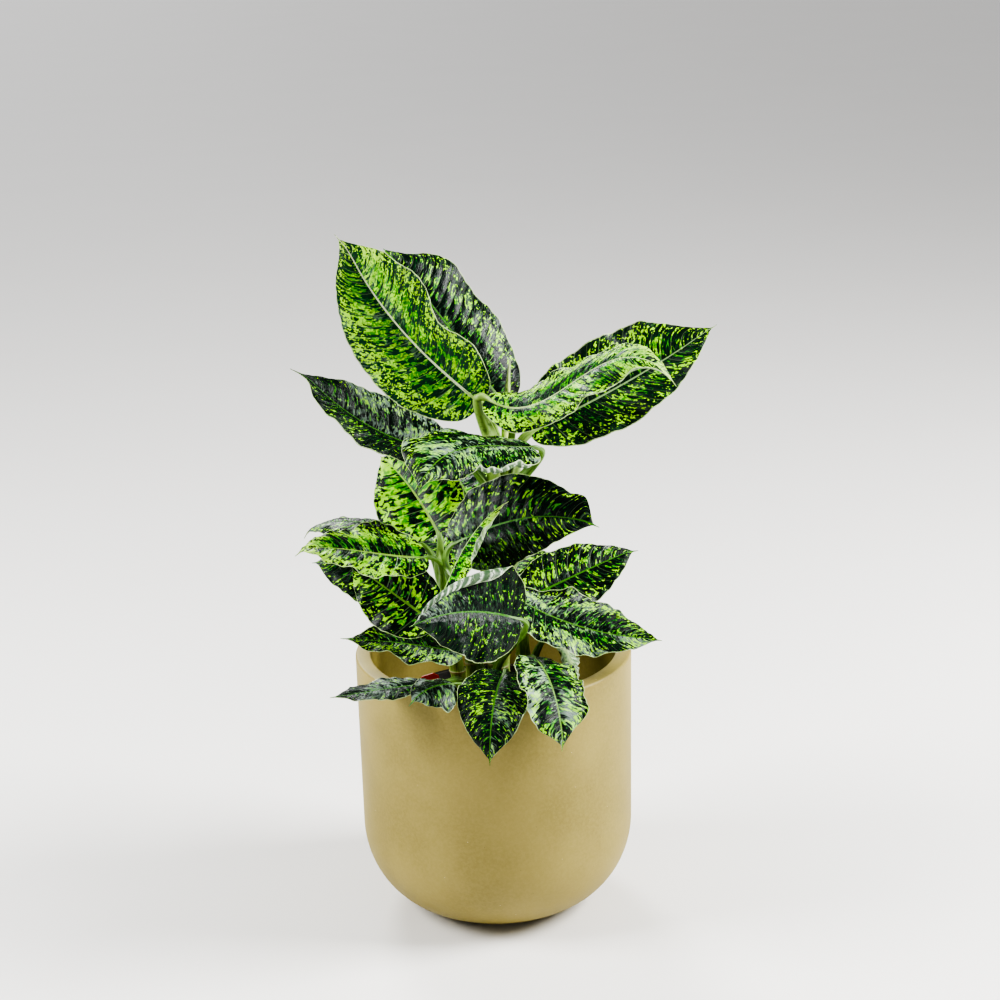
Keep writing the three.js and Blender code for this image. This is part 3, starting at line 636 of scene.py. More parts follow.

# %% [markdown]
# ## A leaf in numbers
#
# Each leaf is described the way a florist would: where its stalk leaves the cane, where its blade begins
# and ends, how the midrib arches and sweeps aside, how wide the blade is, how it is rolled about the
# midrib, folded along it and curled at its margins, and how wavy they are. A pair for fold, curl or
# ripple holds the left half's number and the right half's. A bulge widens one half: its side, place,
# reach and share.
#
# The other numbers are for the looks. `lime` says how much lime the blade shows and `age` how old and
# dark it is. `drip` is the length of the narrow tip, which droops by `hook` and turns aside by `bend`.
# `stout` thickens the stalk. `rolled` rolls a margin over: its side, where across the half it starts, the
# angle, and its place and reach along the blade. `puff` is how much the blade bulges between the veins,
# and `mark` the size of its marks. The last, the painted light, is a pale film of painted sheen where the
# waxy blade would catch the light: left and right at the base, left and right at the tip, and how strong
# the painted highlights on the ridges of a rolled margin's underside are, with painted shade between
# them. What a row leaves out is as in `PLAIN_LEAF`.

# %% The leaves
PLAIN_LEAF = dict(
    sweep=0, fold=10, curl=20, ripple=2, waves=3, bulges=[], drip=4, hook=3, bend=0, stout=1.1,
    rolled=(1, 0.9, 0, 0.5, 0.4), puff=1.1, mark=1.1, painted_light=(0.03, 0.03, 0.03, 0.03, 0.04))
LEAVES = {
    "leaf_top_left": dict(
        cane="tall", node=392, base=(-6, -1, 473), tip=(-122, 34, 615), rise=(-14, -20), width=98,
        roll=(-86, -74), fold=22, curl=12, lime=0.58, age=0.1, drip=6, hook=-1, bend=-7, stout=1.8,
        puff=1.2, mark=0.95, bulges=[(1, 0.4, 0.14, -0.32), (1, 0.72, 0.13, 0.18), (1, 0.92, 0.1, 0.5)],
        rolled=(1, 0.95, 40, 0.5, 0.4), painted_light=(0.2, 0.1, 0.4, 0.4, 0.04)),
    "leaf_top_behind": dict(
        cane="tall", node=406, base=(14, 26, 464), tip=(-88, 84, 594), rise=(4, 6), width=92,
        roll=(-36, -36), fold=8, curl=34, ripple=3, lime=0.24, age=0.5, drip=2, hook=2, stout=1.6,
        bulges=[(1, 0.84, 0.17, 0.6)], painted_light=(0.4, 0.15, 0.1, 0.1, 0.04)),
    "leaf_top_right_back": dict(
        cane="tall", node=390, base=(38, 4, 443), tip=(200, 38, 526), rise=(-4, -8), width=92,
        roll=(46, 50), fold=26, curl=10, ripple=3, waves=4, lime=0.35, age=0.2, drip=6, hook=5, stout=1.7,
        mark=1.15, bulges=[(-1, 0.74, 0.17, 0.2)]),
    "leaf_top_right_front": dict(
        cane="tall", node=414, base=(0, -25, 483), tip=(160, -60, 506), rise=(-46, 70), width=80,
        roll=(14, 24), fold=(12, 2), curl=(24, 36), ripple=(2, 7), waves=2.5, lime=0.62, age=0.2, hook=7,
        stout=1.8, puff=1.2, mark=1.0, bulges=[(1, 0.3, 0.1, -0.45), (-1, 0.6, 0.25, -0.35)],
        rolled=(1, 0.7, 120, 0.8, 0.26), painted_light=(0.1, 0.1, 0.5, 0.3, 0.04)),
    "leaf_top_left_low": dict(
        cane="tall", node=370, base=(-34, -6, 428), tip=(-161, 8, 503), rise=(-18, -18), width=76,
        roll=(-25, -25), fold=24, curl=16, lime=0.17, age=0.7, drip=9, hook=0, bend=-11, stout=1.3,
        mark=0.9, painted_light=(0.05, 0.7, 0.05, 0.2, 0.04)),
    "leaf_top_near": dict(
        cane="tall", node=380, base=(38, -50, 446), tip=(-58, -126, 436), rise=(10, 30), sweep=14, width=96,
        roll=(-4, -10), fold=(4, 8), curl=(44, 26), ripple=3, lime=0.36, age=0.5, drip=3, stout=1.3,
        puff=1.9, mark=1.0, bulges=[(1, 0.72, 0.2, 0.4)], rolled=(-1, 0.78, 170, 0.42, 0.34),
        painted_light=(0.85, 0.6, 0.4, 0.8, 0.8)),
    "leaf_left_upright": dict(
        cane="left", node=316, base=(-46, -20, 360), tip=(-97, 46, 412), rise=(2, 6), sweep=4, width=80,
        roll=(-36, -36), curl=14, lime=0.7, age=0.25, drip=2, hook=2, stout=1.15, mark=1.6),
    "leaf_left_long": dict(
        cane="left", node=306, base=(-56, -56, 350), tip=(-164, -86, 371), rise=(-4, 8), width=66,
        roll=(-11, -11), fold=(4, 16), curl=(24, 18), lime=0.62, age=0.28, drip=3, hook=9, stout=1.15,
        puff=1.3, mark=1.2, bulges=[(1, 0.28, 0.22, 0.45)], rolled=(1, 0.86, 120, 0.3, 0.22),
        painted_light=(0.05, 0.2, 0.3, 0.4, 0.04)),
    "leaf_left_back": dict(
        cane="left", node=306, base=(-63, 0, 344), tip=(-168, 18, 352), rise=(14, 24), width=60,
        roll=(0, 0), fold=0, curl=30, lime=0.34, age=0.5, drip=3, hook=8, painted_light=(0.3, 0.3, 0.3, 0.3, 0.04)),
    "leaf_left_under": dict(
        cane="left", node=274, base=(-64, -20, 314), tip=(-158, 8, 326), rise=(2, 4), width=66,
        roll=(-36, -36), fold=8, lime=0.24, age=0.7),
    "leaf_left_low": dict(
        cane="middle", node=262, base=(-50, -78, 297), tip=(-122, -46, 343), rise=(0, 0), width=66,
        roll=(-36, -62), curl=16, lime=0.43, age=0.3, mark=1.3),
    "leaf_middle_upper": dict(
        cane="middle", node=300, base=(-32, -48, 359), tip=(88, -86, 387), rise=(14, 22), width=84,
        roll=(54, 54), fold=14, waves=4, lime=0.22, age=0.6, drip=5, hook=6, puff=1.3, mark=1.2,
        bulges=[(-1, 0.95, 0.07, 1.3)], rolled=(1, 0.9, 90, 0.75, 0.2), painted_light=(0.2, 0.3, 0.05, 0.05, 0.04)),
    "leaf_middle_folded": dict(
        cane="middle", node=276, base=(-43, -88, 325), tip=(12, -97, 411), rise=(7, 12), width=52,
        roll=(44, 44), fold=(-56, 16), curl=10, lime=0.66, age=0.2, puff=1.2, bulges=[(1, 0.7, 0.2, 0.2)],
        rolled=(1, 0.7, 170, 0.7, 0.2), painted_light=(0.03, 0.03, 0.03, 0.03, 0.5)),
    "leaf_middle_near": dict(
        cane="front", node=244, base=(24, -102, 308), tip=(-64, -172, 332), rise=(10, 14), width=86,
        roll=(-68, -62), fold=(6, 4), curl=(26, -20), ripple=3, lime=0.08, age=1.0, hook=2, stout=1.15,
        puff=1.9, mark=0.85, bulges=[(1, 0.3, 0.22, 0.2)], rolled=(1, 0.6, 245, 0.68, 0.4),
        painted_light=(0.0, 0.0, 0.0, 0.5, 0.9)),
    "leaf_right_upper": dict(
        cane="right", node=250, base=(27, -10, 291), tip=(129, 30, 322), rise=(0, 2), width=66,
        roll=(36, 36), fold=8, curl=18, lime=0.28, age=0.4, drip=6, hook=6),
    "leaf_right_lower": dict(
        cane="tall", node=262, base=(20, -42, 307), tip=(144, -68, 273), rise=(-14, -12), width=74,
        roll=(22, 22), fold=16, curl=24, lime=0.36, age=0.4, hook=2, puff=1.2, mark=1.0,
        bulges=[(-1, 0.16, 0.16, -0.3)], rolled=(-1, 0.7, 120, 0.2, 0.2), painted_light=(0.6, 0.4, 0.1, 0.5, 0.04)),
    "leaf_right_hanging": dict(
        cane="right", node=226, base=(54, -22, 260), tip=(74, -48, 224), rise=(8, 8), width=54,
        roll=(140, 140), fold=8, ripple=1, lime=0.3, age=0.7, drip=3, painted_light=(0.03, 0.03, 0.03, 0.03, 0.6)),
    "leaf_rim_left": dict(
        cane="front", node=222, base=(-28, -56, 261), tip=(-129, -78, 284), rise=(2, 4), width=48,
        roll=(-20, -6), fold=(4, 14), ripple=3, lime=0.34, age=0.5, drip=3, hook=0, bend=3, puff=1.2,
        mark=0.9, rolled=(1, 0.8, 130, 0.75, 0.3), painted_light=(0.4, 0.2, 0.1, 0.1, 0.04)),
    "leaf_rim_left_low": dict(
        cane="middle", node=214, base=(-58, -92, 246), tip=(-136, -130, 252), rise=(3, 0), width=40,
        roll=(-4, -4), fold=4, curl=14, ripple=0.7, lime=0.1, age=0.95, hook=0,
        painted_light=(0.3, 0.4, 0.3, 0.4, 0.04)),
    "leaf_rim_front_left": dict(
        cane="middle", node=196, base=(-34, -110, 253.5), tip=(-69, -146, 253), rise=(6, 8), width=42,
        roll=(-34, -34), fold=(-4, -26), lime=0.14, age=0.9, hook=4, bulges=[(-1, 0.5, 0.25, 0.2)],
        painted_light=(0.4, 0.4, 0.4, 0.4, 0.04)),
    "leaf_rim_front": dict(
        cane="front", node=212, base=(10, -84, 253), tip=(-5, -152, 199), rise=(26, 28), width=66,
        roll=(-8, -4), fold=6, curl=18, lime=0.24, age=0.6, puff=1.5, mark=0.8,
        rolled=(-1, 0.84, 150, 0.45, 0.3), painted_light=(0.1, 0.02, 0.55, 0.02, 0.04)),
    "leaf_rim_front_right": dict(
        cane="front", node=192, base=(36, -76, 262), tip=(58, -146, 208), rise=(26, 26), width=60,
        roll=(-12, -12), curl=18, ripple=3, waves=4, lime=0.44, age=0.6, hook=4, puff=1.5,
        bulges=[(-1, 0.8, 0.16, 0.4), (1, 0.86, 0.16, 0.6)], rolled=(-1, 0.86, 110, 0.5, 0.35),
        painted_light=(0.3, 0.8, 0.6, 0.8, 0.04)),
    "leaf_back_high": dict(
        cane="back", node=292, base=(-10, 66, 342), tip=(-48, 150, 372), rise=(12, 18), width=84,
        roll=(0, 0), lime=0.42, age=0.4),
    "leaf_back_right": dict(
        cane="back", node=284, base=(34, 62, 326), tip=(74, 140, 330), rise=(14, 20), width=72, roll=(0, 0),
        lime=0.34, age=0.5),
    "leaf_back_left": dict(
        cane="back", node=270, base=(-14, 62, 301), tip=(-104, 120, 308), rise=(12, 18), width=76,
        roll=(0, 0), lime=0.38, age=0.5),
    "leaf_back_low": dict(
        cane="back", node=252, base=(18, 74, 286), tip=(22, 162, 270), rise=(14, 20), width=76, roll=(0, 0),
        fold=8, lime=0.3, age=0.7),
}
BLADE = dict(widest=0.4, tip_power=0.9, lobe=0.1, lobe_start=0.25, lobe_fade=3, phase=1.9, thickness=0.5)
TIP = dict(pinch=0.3, pinch_start=0.84, tail=1.5, tail_start=0.9, tail_power=0.8)
VEIN = dict(lag=0.16, lag_power=0.8, bend=1.35, gap=10.5, fewest=8)
print("leaves:", len(LEAVES))

# %% [markdown]
# ### From the numbers to a surface
#
# The midrib is one cubic curve. At every place along it there is a small frame: along, across and out of
# the blade. A point of the blade is then found from two numbers only, t from base to tip and v from the
# left margin at -1 to the right margin at 1. NumPy works out the whole grid of points at once. A sculpted
# leaf could look just as good, but a formula can make twenty-six of them, and each stays where the packed
# model has it.

# %% Midrib and frames
def unit(vectors):
    """The same directions, one long."""
    return vectors / np.linalg.norm(vectors, axis=-1, keepdims=True)


def square_to(along, vectors):
    """The part of the vectors at right angles to along, one long."""
    return unit(vectors - along * np.sum(along * vectors, axis=-1, keepdims=True))


def midrib(leaf):
    """The four points of the midrib's cubic curve, and the level direction to its right."""
    base, tip = np.array(leaf["base"], float), np.array(leaf["tip"], float)
    chord = tip - base
    side = unit(np.array((chord[1], -chord[0], 0)))
    lift = unit(np.cross(side, chord))
    near = base + chord / 3 + lift * leaf["rise"][0] + side * leaf["sweep"]
    far = base + chord * 2 / 3 + lift * leaf["rise"][1] + side * leaf["sweep"]
    return (base, near, far, tip), side


def on_curve(corners, t):
    """Places and slopes of a cubic curve; past its end it goes straight on."""
    a, b, c, d = corners
    inner = np.minimum(t, 1)[..., None]
    outer = 1 - inner
    place = outer**3 * a + 3 * outer**2 * inner * b + 3 * outer * inner**2 * c + inner**3 * d
    slope = 3 * (outer**2 * (b - a) + 2 * outer * inner * (c - b) + inner**2 * (d - c))
    return place + slope * np.maximum(t - 1, 0)[..., None], slope


def blade_frame(leaf, t):
    """Place, along, across and out of the blade for places t on the midrib."""
    corners, side = midrib(leaf)
    place, slope = on_curve(corners, t)
    along = unit(slope)
    level = square_to(along, side)
    upright = np.cross(level, along)
    first, last = leaf["roll"]
    roll = np.radians(first + (last - first) * np.minimum(t, 1))[..., None]
    across = level * np.cos(roll) - upright * np.sin(roll)
    out = upright * np.cos(roll) + level * np.sin(roll)
    return place, along, across, out


# %% [markdown]
# ### The outline and the section of the blade
#
# The outline rises quickly from the base, is widest before the middle and runs out in a drip tip. Across
# the blade each half is an arc, and a rolled margin goes on as a second, tighter arc. Both are bent
# without stretching, so a rolled leaf keeps its width. Lifting the points straight up would widen it.

# %% Outline and section
def soft_step(x, low, high):
    """0 below low, 1 above high, and a soft step between them, for NumPy's numbers."""
    x = np.clip((x - low) / (high - low), 0, 1)
    return x * x * (3 - 2 * x)


def by_half(value, v):
    """The number for each point's half of the blade; a single number serves both halves."""
    left, right = value if isinstance(value, tuple) else (value, value)
    return np.where(v > 0, right, left)


def blade_end(leaf):
    """Where the drip tip ends, with the midrib's own end at 1."""
    return 1 + leaf["drip"] / leaf["length"]


def half_width(leaf, t):
    """Half the blade's width, with the drip tip drawn out at its end."""
    widest, end = BLADE["widest"], blade_end(leaf)
    inner = np.clip(t, 0.0005, 0.9995)
    share = (inner / widest) ** (BLADE["tip_power"] * widest / (1 - widest))
    share = share * ((1 - inner) / (1 - widest)) ** BLADE["tip_power"]
    pinch = 1 - TIP["pinch"] * soft_step(inner, TIP["pinch_start"], 1.0)
    tail = TIP["tail"] * np.clip((end - t) / (end - TIP["tail_start"]), 0, 1) ** TIP["tail_power"]
    return np.maximum(leaf["width"] / 2 * share * pinch, tail)


def bulge_share(leaf, t, v):
    """How much wider than the outline the half is, because of the bulges on its side."""
    share = np.ones(t.shape)
    for side, place, reach, amount in leaf["bulges"]:
        share += np.where(np.sign(v) == side, amount * np.exp(-(((t - place) / reach) ** 2)), 0)
    return share


def half_section(leaf, t, v):
    """How far aside and how far up a point lies, in half widths: the half's arc, then its margin's."""
    side, start, degrees, place, reach = leaf["rolled"]
    here = np.exp(-(((t - place) / reach) ** 4)) * (np.sign(v) == side)
    turning = np.radians(degrees) * here + 0.001
    fold, curl = [np.radians(by_half(leaf[key], v)) for key in ("fold", "curl")]
    inner, rim = np.minimum(np.abs(v), start), np.maximum(np.abs(v) - start, 0)
    slant = fold - curl * inner
    rate = turning / (1 - start) - curl
    last = slant + rate * rim
    aside = (np.sin(fold) - np.sin(slant)) / curl + (np.sin(last) - np.sin(slant)) / rate
    lift = (np.cos(slant) - np.cos(fold)) / curl + (np.cos(slant) - np.cos(last)) / rate
    return aside, lift


print("widest at", BLADE["widest"], "of the blade's length")

# %% [markdown]
# ### Quilting, waves and dents
#
# Side veins leave the midrib at a slant and bend towards the tip, and the blade bulges a little between
# them, like a quilt. So the rows of the grid follow the veins: a row starts on the midrib and reaches the
# margin further on. The quilting then only needs the number of the row, and the crease lies exactly on
# the vein. A bump would shade like that too, but it would leave the outline of the leaf smooth. Small
# dents all over break up the shine, as they do on the real leaf.

# %% Quilting and waves
# in millimetres, but quilt is a share of the blade's width and sunk a share of the quilt
RELIEF = dict(quilt=0.01, sunk=0.35, dent=0.9, channel=0.5, uneven=1.1, crimp=1.1, frill=2.6, scallop=0.6)
CHANNEL_WIDTH = 2.2
DENT_SIZE = (6, 8)
CRIMPS_PER_WAVE = 2.7
FULL_FRILL_WIDTH = 64
DROOP = dict(start=0.88, past_end=0.08, power=1.5, full=0.8)


def vein_lag(s, v):
    """How much further along the blade a side vein is at v than where it left the midrib."""
    return VEIN["lag"] * np.sin(np.pi * np.clip(s, 0, 1)) ** VEIN["lag_power"] * np.abs(v) ** VEIN["bend"]


def uneven(a, b, seed):
    """Smooth noise from -1 to 1 at the places a, b; each seed gives another."""
    flat = [noise.noise(Vector((x, y, seed))) for x, y in zip(a.ravel(), b.ravel())]
    return np.array(flat).reshape(a.shape)


def wavy_margin(leaf, s, t, v):
    """The waves along the margin: the leaf's own ripple, then a small crimp and an uneven frill."""
    phase, seed = by_half((BLADE["phase"], 0), v), leaf["seed"]
    wave = by_half(leaf["ripple"], v) * np.sin(2 * np.pi * leaf["waves"] * t + phase)
    crimps = leaf["waves"] * CRIMPS_PER_WAVE
    crimp = RELIEF["crimp"] * np.sin(2 * np.pi * crimps * t + 3 * phase + seed)
    frill = crimp + RELIEF["frill"] * uneven(s * 12.8, np.sign(v) * 1.6, seed + 20)
    return wave * v**2 + frill * v**4 * min(1, leaf["width"] / FULL_FRILL_WIDTH) ** 2


def blade_points(leaf, s, v):
    """The middle sheet of the blade, and t and the half width of each point for later use."""
    end, seed, share = blade_end(leaf), leaf["seed"], np.abs(v)
    t = np.minimum(s * end + vein_lag(s, v), end - (1 - s) * 0.02)
    before_tip = 1 - np.clip(t, 0, 1)
    place, along, across, out = blade_frame(leaf, t)
    wide = half_width(leaf, t) * bulge_share(leaf, t, v)
    reach, lift = half_section(leaf, t, v)
    swell = np.sqrt(np.sin(np.pi * np.clip(t, 0, 1)))
    between_veins = np.abs(np.sin(np.pi * (s * leaf["veins"] + by_half((0.5, 0), v))))
    quilt = between_veins**0.75 * soft_step(share, 0.03, 0.22) * (1 - 0.55 * share**3)
    quilt = (quilt - RELIEF["sunk"] * soft_step(share, 0.03, 0.3)) * leaf["width"]
    dents = uneven(s * leaf["length"] / DENT_SIZE[0], v * wide / DENT_SIZE[1], seed + 40)
    soft = RELIEF["quilt"] * quilt + RELIEF["dent"] * dents * soft_step(share, 0.04, 0.3)
    slow = RELIEF["uneven"] * uneven(s * 3.2, v * 1.6, seed) * share
    channel = RELIEF["channel"] * np.exp(-((v * wide / CHANNEL_WIDTH) ** 2)) * before_tip
    bent = soft_step(t, DROOP["start"], end + DROOP["past_end"]) ** DROOP["power"] / DROOP["full"]
    height = swell * (wavy_margin(leaf, s, t, v) + soft * leaf["puff"] + slow)
    height = height + wide * lift - channel - leaf["hook"] * bent
    rounding = np.minimum(1, wide / (BLADE["lobe_start"] * leaf["width"]))
    lobe = BLADE["lobe"] * leaf["width"] * before_tip ** BLADE["lobe_fade"] * share * rounding
    scallop = RELIEF["scallop"] * between_veins * share**6 * swell
    aside = (wide * reach + scallop) * np.sign(v) + leaf["bend"] * bent
    points = place - along * lobe[..., None] + across * aside[..., None] + out * height[..., None]
    return points, t, wide


print("waves of a plain leaf:", PLAIN_LEAF["ripple"], "mm, frill up to", RELIEF["frill"], "mm")

# %% [markdown]
# ### The blade's mesh
#
# The sheet gets an underside half a millimetre below it, and there the midrib stands out as a round rib
# that fades towards the tip. A strip round the margin closes the two. A Solidify modifier would thicken
# the sheet as well, but it knows nothing of the rib.

# %% Build the blade
ACROSS = [0, 0.022, 0.05, 0.09, 0.14, 0.2, 0.27, 0.34, 0.41, 0.48, 0.55, 0.61, 0.66, 0.71, 0.755, 0.8]
ACROSS += [0.84, 0.875, 0.91, 0.94, 0.97, 1]
ROWS_PER_VEIN = 6
RIB = dict(height=1.9, width=1.7, fade=0.8)


def grid_faces(grid):
    """Quads over a grid of point numbers."""
    corners = (grid[:-1, :-1], grid[:-1, 1:], grid[1:, 1:], grid[1:, :-1])
    return np.stack(corners, -1).reshape(-1, 4).tolist()


def blade_mesh(leaf):
    """Points, faces, which finish each face has, and where on the blade each point lies."""
    steps = np.linspace(0, 1, leaf["veins"] * ROWS_PER_VEIN + 1)[1:-1]
    s, v = np.meshgrid([0.004, *steps, 0.999], [-v for v in ACROSS[:0:-1]] + ACROSS, indexing="ij")
    sheet, t, wide = blade_points(leaf, s, v)
    out = unit(np.cross(np.gradient(sheet, axis=1), np.gradient(sheet, axis=0)))
    rib = RIB["height"] * np.clip(1 - t, 0, 1) ** RIB["fade"] * np.exp(-((v * wide / RIB["width"]) ** 2))
    half = BLADE["thickness"] / 2
    points = np.stack((sheet + out * half, sheet - out * (half + rib)[..., None])).reshape(-1, 3)
    grid = np.arange(s.size).reshape(s.shape)
    top, under = grid_faces(grid), [quad[::-1] for quad in grid_faces(grid + s.size)]
    edge = np.concatenate((grid[0], grid[1:, -1], grid[-1, -2::-1], grid[-2:0:-1, 0])).tolist()
    strip = [(b, a, a + s.size, b + s.size) for a, b in zip(edge, edge[1:] + edge[:1])]
    kinds = [0] * len(top) + [1] * len(under) + [0] * len(strip)
    flat_width = half_width(leaf, np.clip(t, 0, 1))
    spot = np.stack((s * leaf["length"], v * flat_width, np.abs(v)), -1).reshape(-1, 3)
    return points, top + under + strip, kinds, np.concatenate((spot, spot))


print("columns across a blade:", 2 * len(ACROSS) - 1)

# %% [markdown]
# ### The stalk's mesh
#
# A stalk has a round back, a groove on its upper side and, low down, two thin wings that sheathe the
# cane. It is a section swept along a curve, and the section changes on the way, which a bevelled curve
# object can't do.

# %% Build the stalk
STALK = dict(foot=3.6, neck=2.3, end=0.9, neck_place=0.7, stout_fade=0.2, steps=34, sides=30)
STALK_CURVE = dict(foot_share=0.7, spread=0.12, climb=0.3, neck_share=0.35, below=0.9)
GROOVE = dict(depth=0.34, width=0.5)
WING = dict(height=0.62, place=0.95, width=0.2, fade=(0.42, 0.6))
UNDER_BLADE = (0.02, 0.05, 0.09, 0.13)


def stalk_line(leaf):
    """Places from the cane to under the blade, slopes, and the direction of the grooved side."""
    cane = CANES[leaf["cane"]]
    centre = cane_centre(cane, leaf["node"])
    base = np.array(leaf["base"], float)
    outward = unit((base - centre) * (1, 1, 0))
    foot = centre + outward * cane["radius"] * STALK_CURVE["foot_share"]
    length = np.linalg.norm(base - foot)
    rise = foot + outward * length * STALK_CURVE["spread"] + np.array((0, 0, length * STALK_CURVE["climb"]))
    _, along, _, out = blade_frame(leaf, np.array(0.0))
    neck = base - along * length * STALK_CURVE["neck_share"]
    t = np.linspace(0, 1, STALK["steps"])
    line, slope = on_curve((foot, rise, neck, base), t)
    under, under_slope, _, under_out = blade_frame(leaf, np.array(UNDER_BLADE))
    out = np.concatenate((np.tile(out, (len(t), 1)), under_out))
    share = soft_step(np.concatenate((t, np.ones(len(UNDER_BLADE)))), 0.1, 0.9)[:, None]
    line = np.concatenate((line, under - under_out * STALK_CURVE["below"]))
    return line, unit(np.concatenate((slope, under_slope))), out * share - outward * (1 - share)


def stalk_mesh(leaf):
    """A swept section: groove above, round below, sheathing wings near the foot."""
    line, along, grooved = stalk_line(leaf)
    grooved = square_to(along, grooved)
    side = np.cross(along, grooved)
    way = np.concatenate(([0], np.cumsum(np.linalg.norm(np.diff(line, axis=0), axis=1))))[:, None]
    w = way / way[-1]
    neck = STALK["neck_place"]
    radius = np.interp(w, (0, neck, 1), (STALK["foot"], STALK["neck"], STALK["end"]))
    radius *= np.interp(w, (neck, neck + STALK["stout_fade"]), (leaf["stout"], 1))
    angles = 2 * np.pi * np.arange(STALK["sides"]) / STALK["sides"]
    away = np.minimum(angles, 2 * np.pi - angles)
    wing = (1 - soft_step(w, *WING["fade"])) * np.exp(-(((away - WING["place"]) / WING["width"]) ** 2))
    groove = GROOVE["depth"] * np.exp(-((away / GROOVE["width"]) ** 2))
    section = radius * (1 - groove + WING["height"] * wing)
    points, faces = sweep(line, grooved[:, None], side[:, None], section)
    spots = np.stack(np.broadcast_arrays(way, angles * 3, wing), -1).reshape(-1, 3)
    return points, faces, spots


print("stalk section:", STALK["sides"], "points")

# %% [markdown]
# ## The leaf's finish
#
# The upper side is the whole character of this plant. On a very dark green ground lie lime streaks that
# run along the side veins. They are long and broad in the middle of the blade and break up into small
# flecks near the margin. Beside the midrib the ground stays darker, the midrib itself is pale, and a thin
# pale line goes all round the margin: partly the leaf's own pale edge, partly painted rim light. Here and
# there a pale film of painted sheen lies over the dark ground, where the waxy blade would catch the light.
#
# An image could hold such a pattern, but noise can be stretched along the veins and it never repeats. So
# the mesh stores where each point lies on its blade: along the veins, across the blade and how near the
# margin. Noise that reads these numbers, squeezed one way and stretched the other, gives streaks that
# follow the real veins. The flecks near the margin read the place in space instead, because there they
# lie in all directions. Further stored numbers say how limy and how old the leaf is, how large its marks
# are and where the painted sheen lies, so that one recipe serves all the leaves.

# %% Where the lime shows
def split(vector):
    """The three numbers of a vector."""
    return outputs(vector.finish.add("ShaderNodeSeparateXYZ", None, {0: vector}))


def join(x, y, z):
    return x.finish.add("ShaderNodeCombineXYZ", None, {0: x, 1: y, 2: z})


def size_of(value):
    """The value without its sign."""
    return value.finish.add("ShaderNodeMath", {"operation": "ABSOLUTE"}, {0: value})


def vein_line(finish, width, times=1):
    """1 on a side vein and 0 between the veins; times adds lines between them."""
    vein = stored_number(finish, "vein") * times
    between = finish.add("ShaderNodeMath", {"operation": "FRACT"}, {0: vein + 0.5})
    return 1 - ease(size_of(between - 0.5), 0.015, width)


def lime_pattern(finish):
    """The lime mask, 1 for lime and 0 for dark, and the wires that other layers use again."""
    along, across, edge = split(stored(finish, "spot"))
    lime, age, seed = split(stored(finish, "kind"))
    way = stored_number(finish, "way")
    mark = stored_number(finish, "mark")
    near, aside = along / mark, across / mark
    field = cloud(join(near / 4.6, aside / 13, seed * 7), detail=1, warp=0.6)
    streak = cloud(join(near / 2.1, aside / 5, seed * 5), detail=0.8, rough=0.5, warp=0.8)
    fleck = cloud(object_place(finish) / mark, scale=0.46, detail=0.8, warp=0.5)
    patch = cloud(join(along / 30, across / 18, seed * 3), detail=1)
    outer = 1 - (1 - ease(edge, 0.45, 0.8)) * (1 - ease(way, 0.74, 0.95))
    bold = ease(lime, 0.4, 0.66) * (1 - outer)
    grain = field * (0.26 + bold * 0.3 - outer * 0.18) + streak * (0.74 - bold * 0.3 - outer * 0.36)
    by_rib = 1 - ease(size_of(across), 1.5, 12)
    rim = ease(edge, 0.84, 0.95) * (1 - ease(way, 0.45, 0.9) * lime)
    level = 0.626 - lime * 0.19 - (patch - 0.5) * 0.2 - ease(way, 0.5, 1) * (0.02 + lime * 0.06)
    level = level + by_rib * 0.055 + rim * 0.05 - bold * 0.012
    grain = grain + fleck * (outer * 0.54) - level
    wires = dict(along=along, across=across, edge=edge, way=way, lime=lime, age=age, seed=seed)
    wires.update(streak=streak, fleck=fleck, patch=patch, outer=outer, grain=grain)
    return ease(grain, -0.005, 0.008), wires


print("the lime pattern reads", ("spot", "kind", "way", "mark"))

# %% [markdown]
# ### The upper side
#
# The pattern only says where the lime lies. Around it come the layers that the eye sees: the dark ground,
# a pale film of painted sheen, a green halo at the lime's edges, fine pale veins, the margin, which is
# partly painted rim light, and the rib. Each is laid over the last by its own share, as a painter glazes,
# so that any of them can be changed alone.

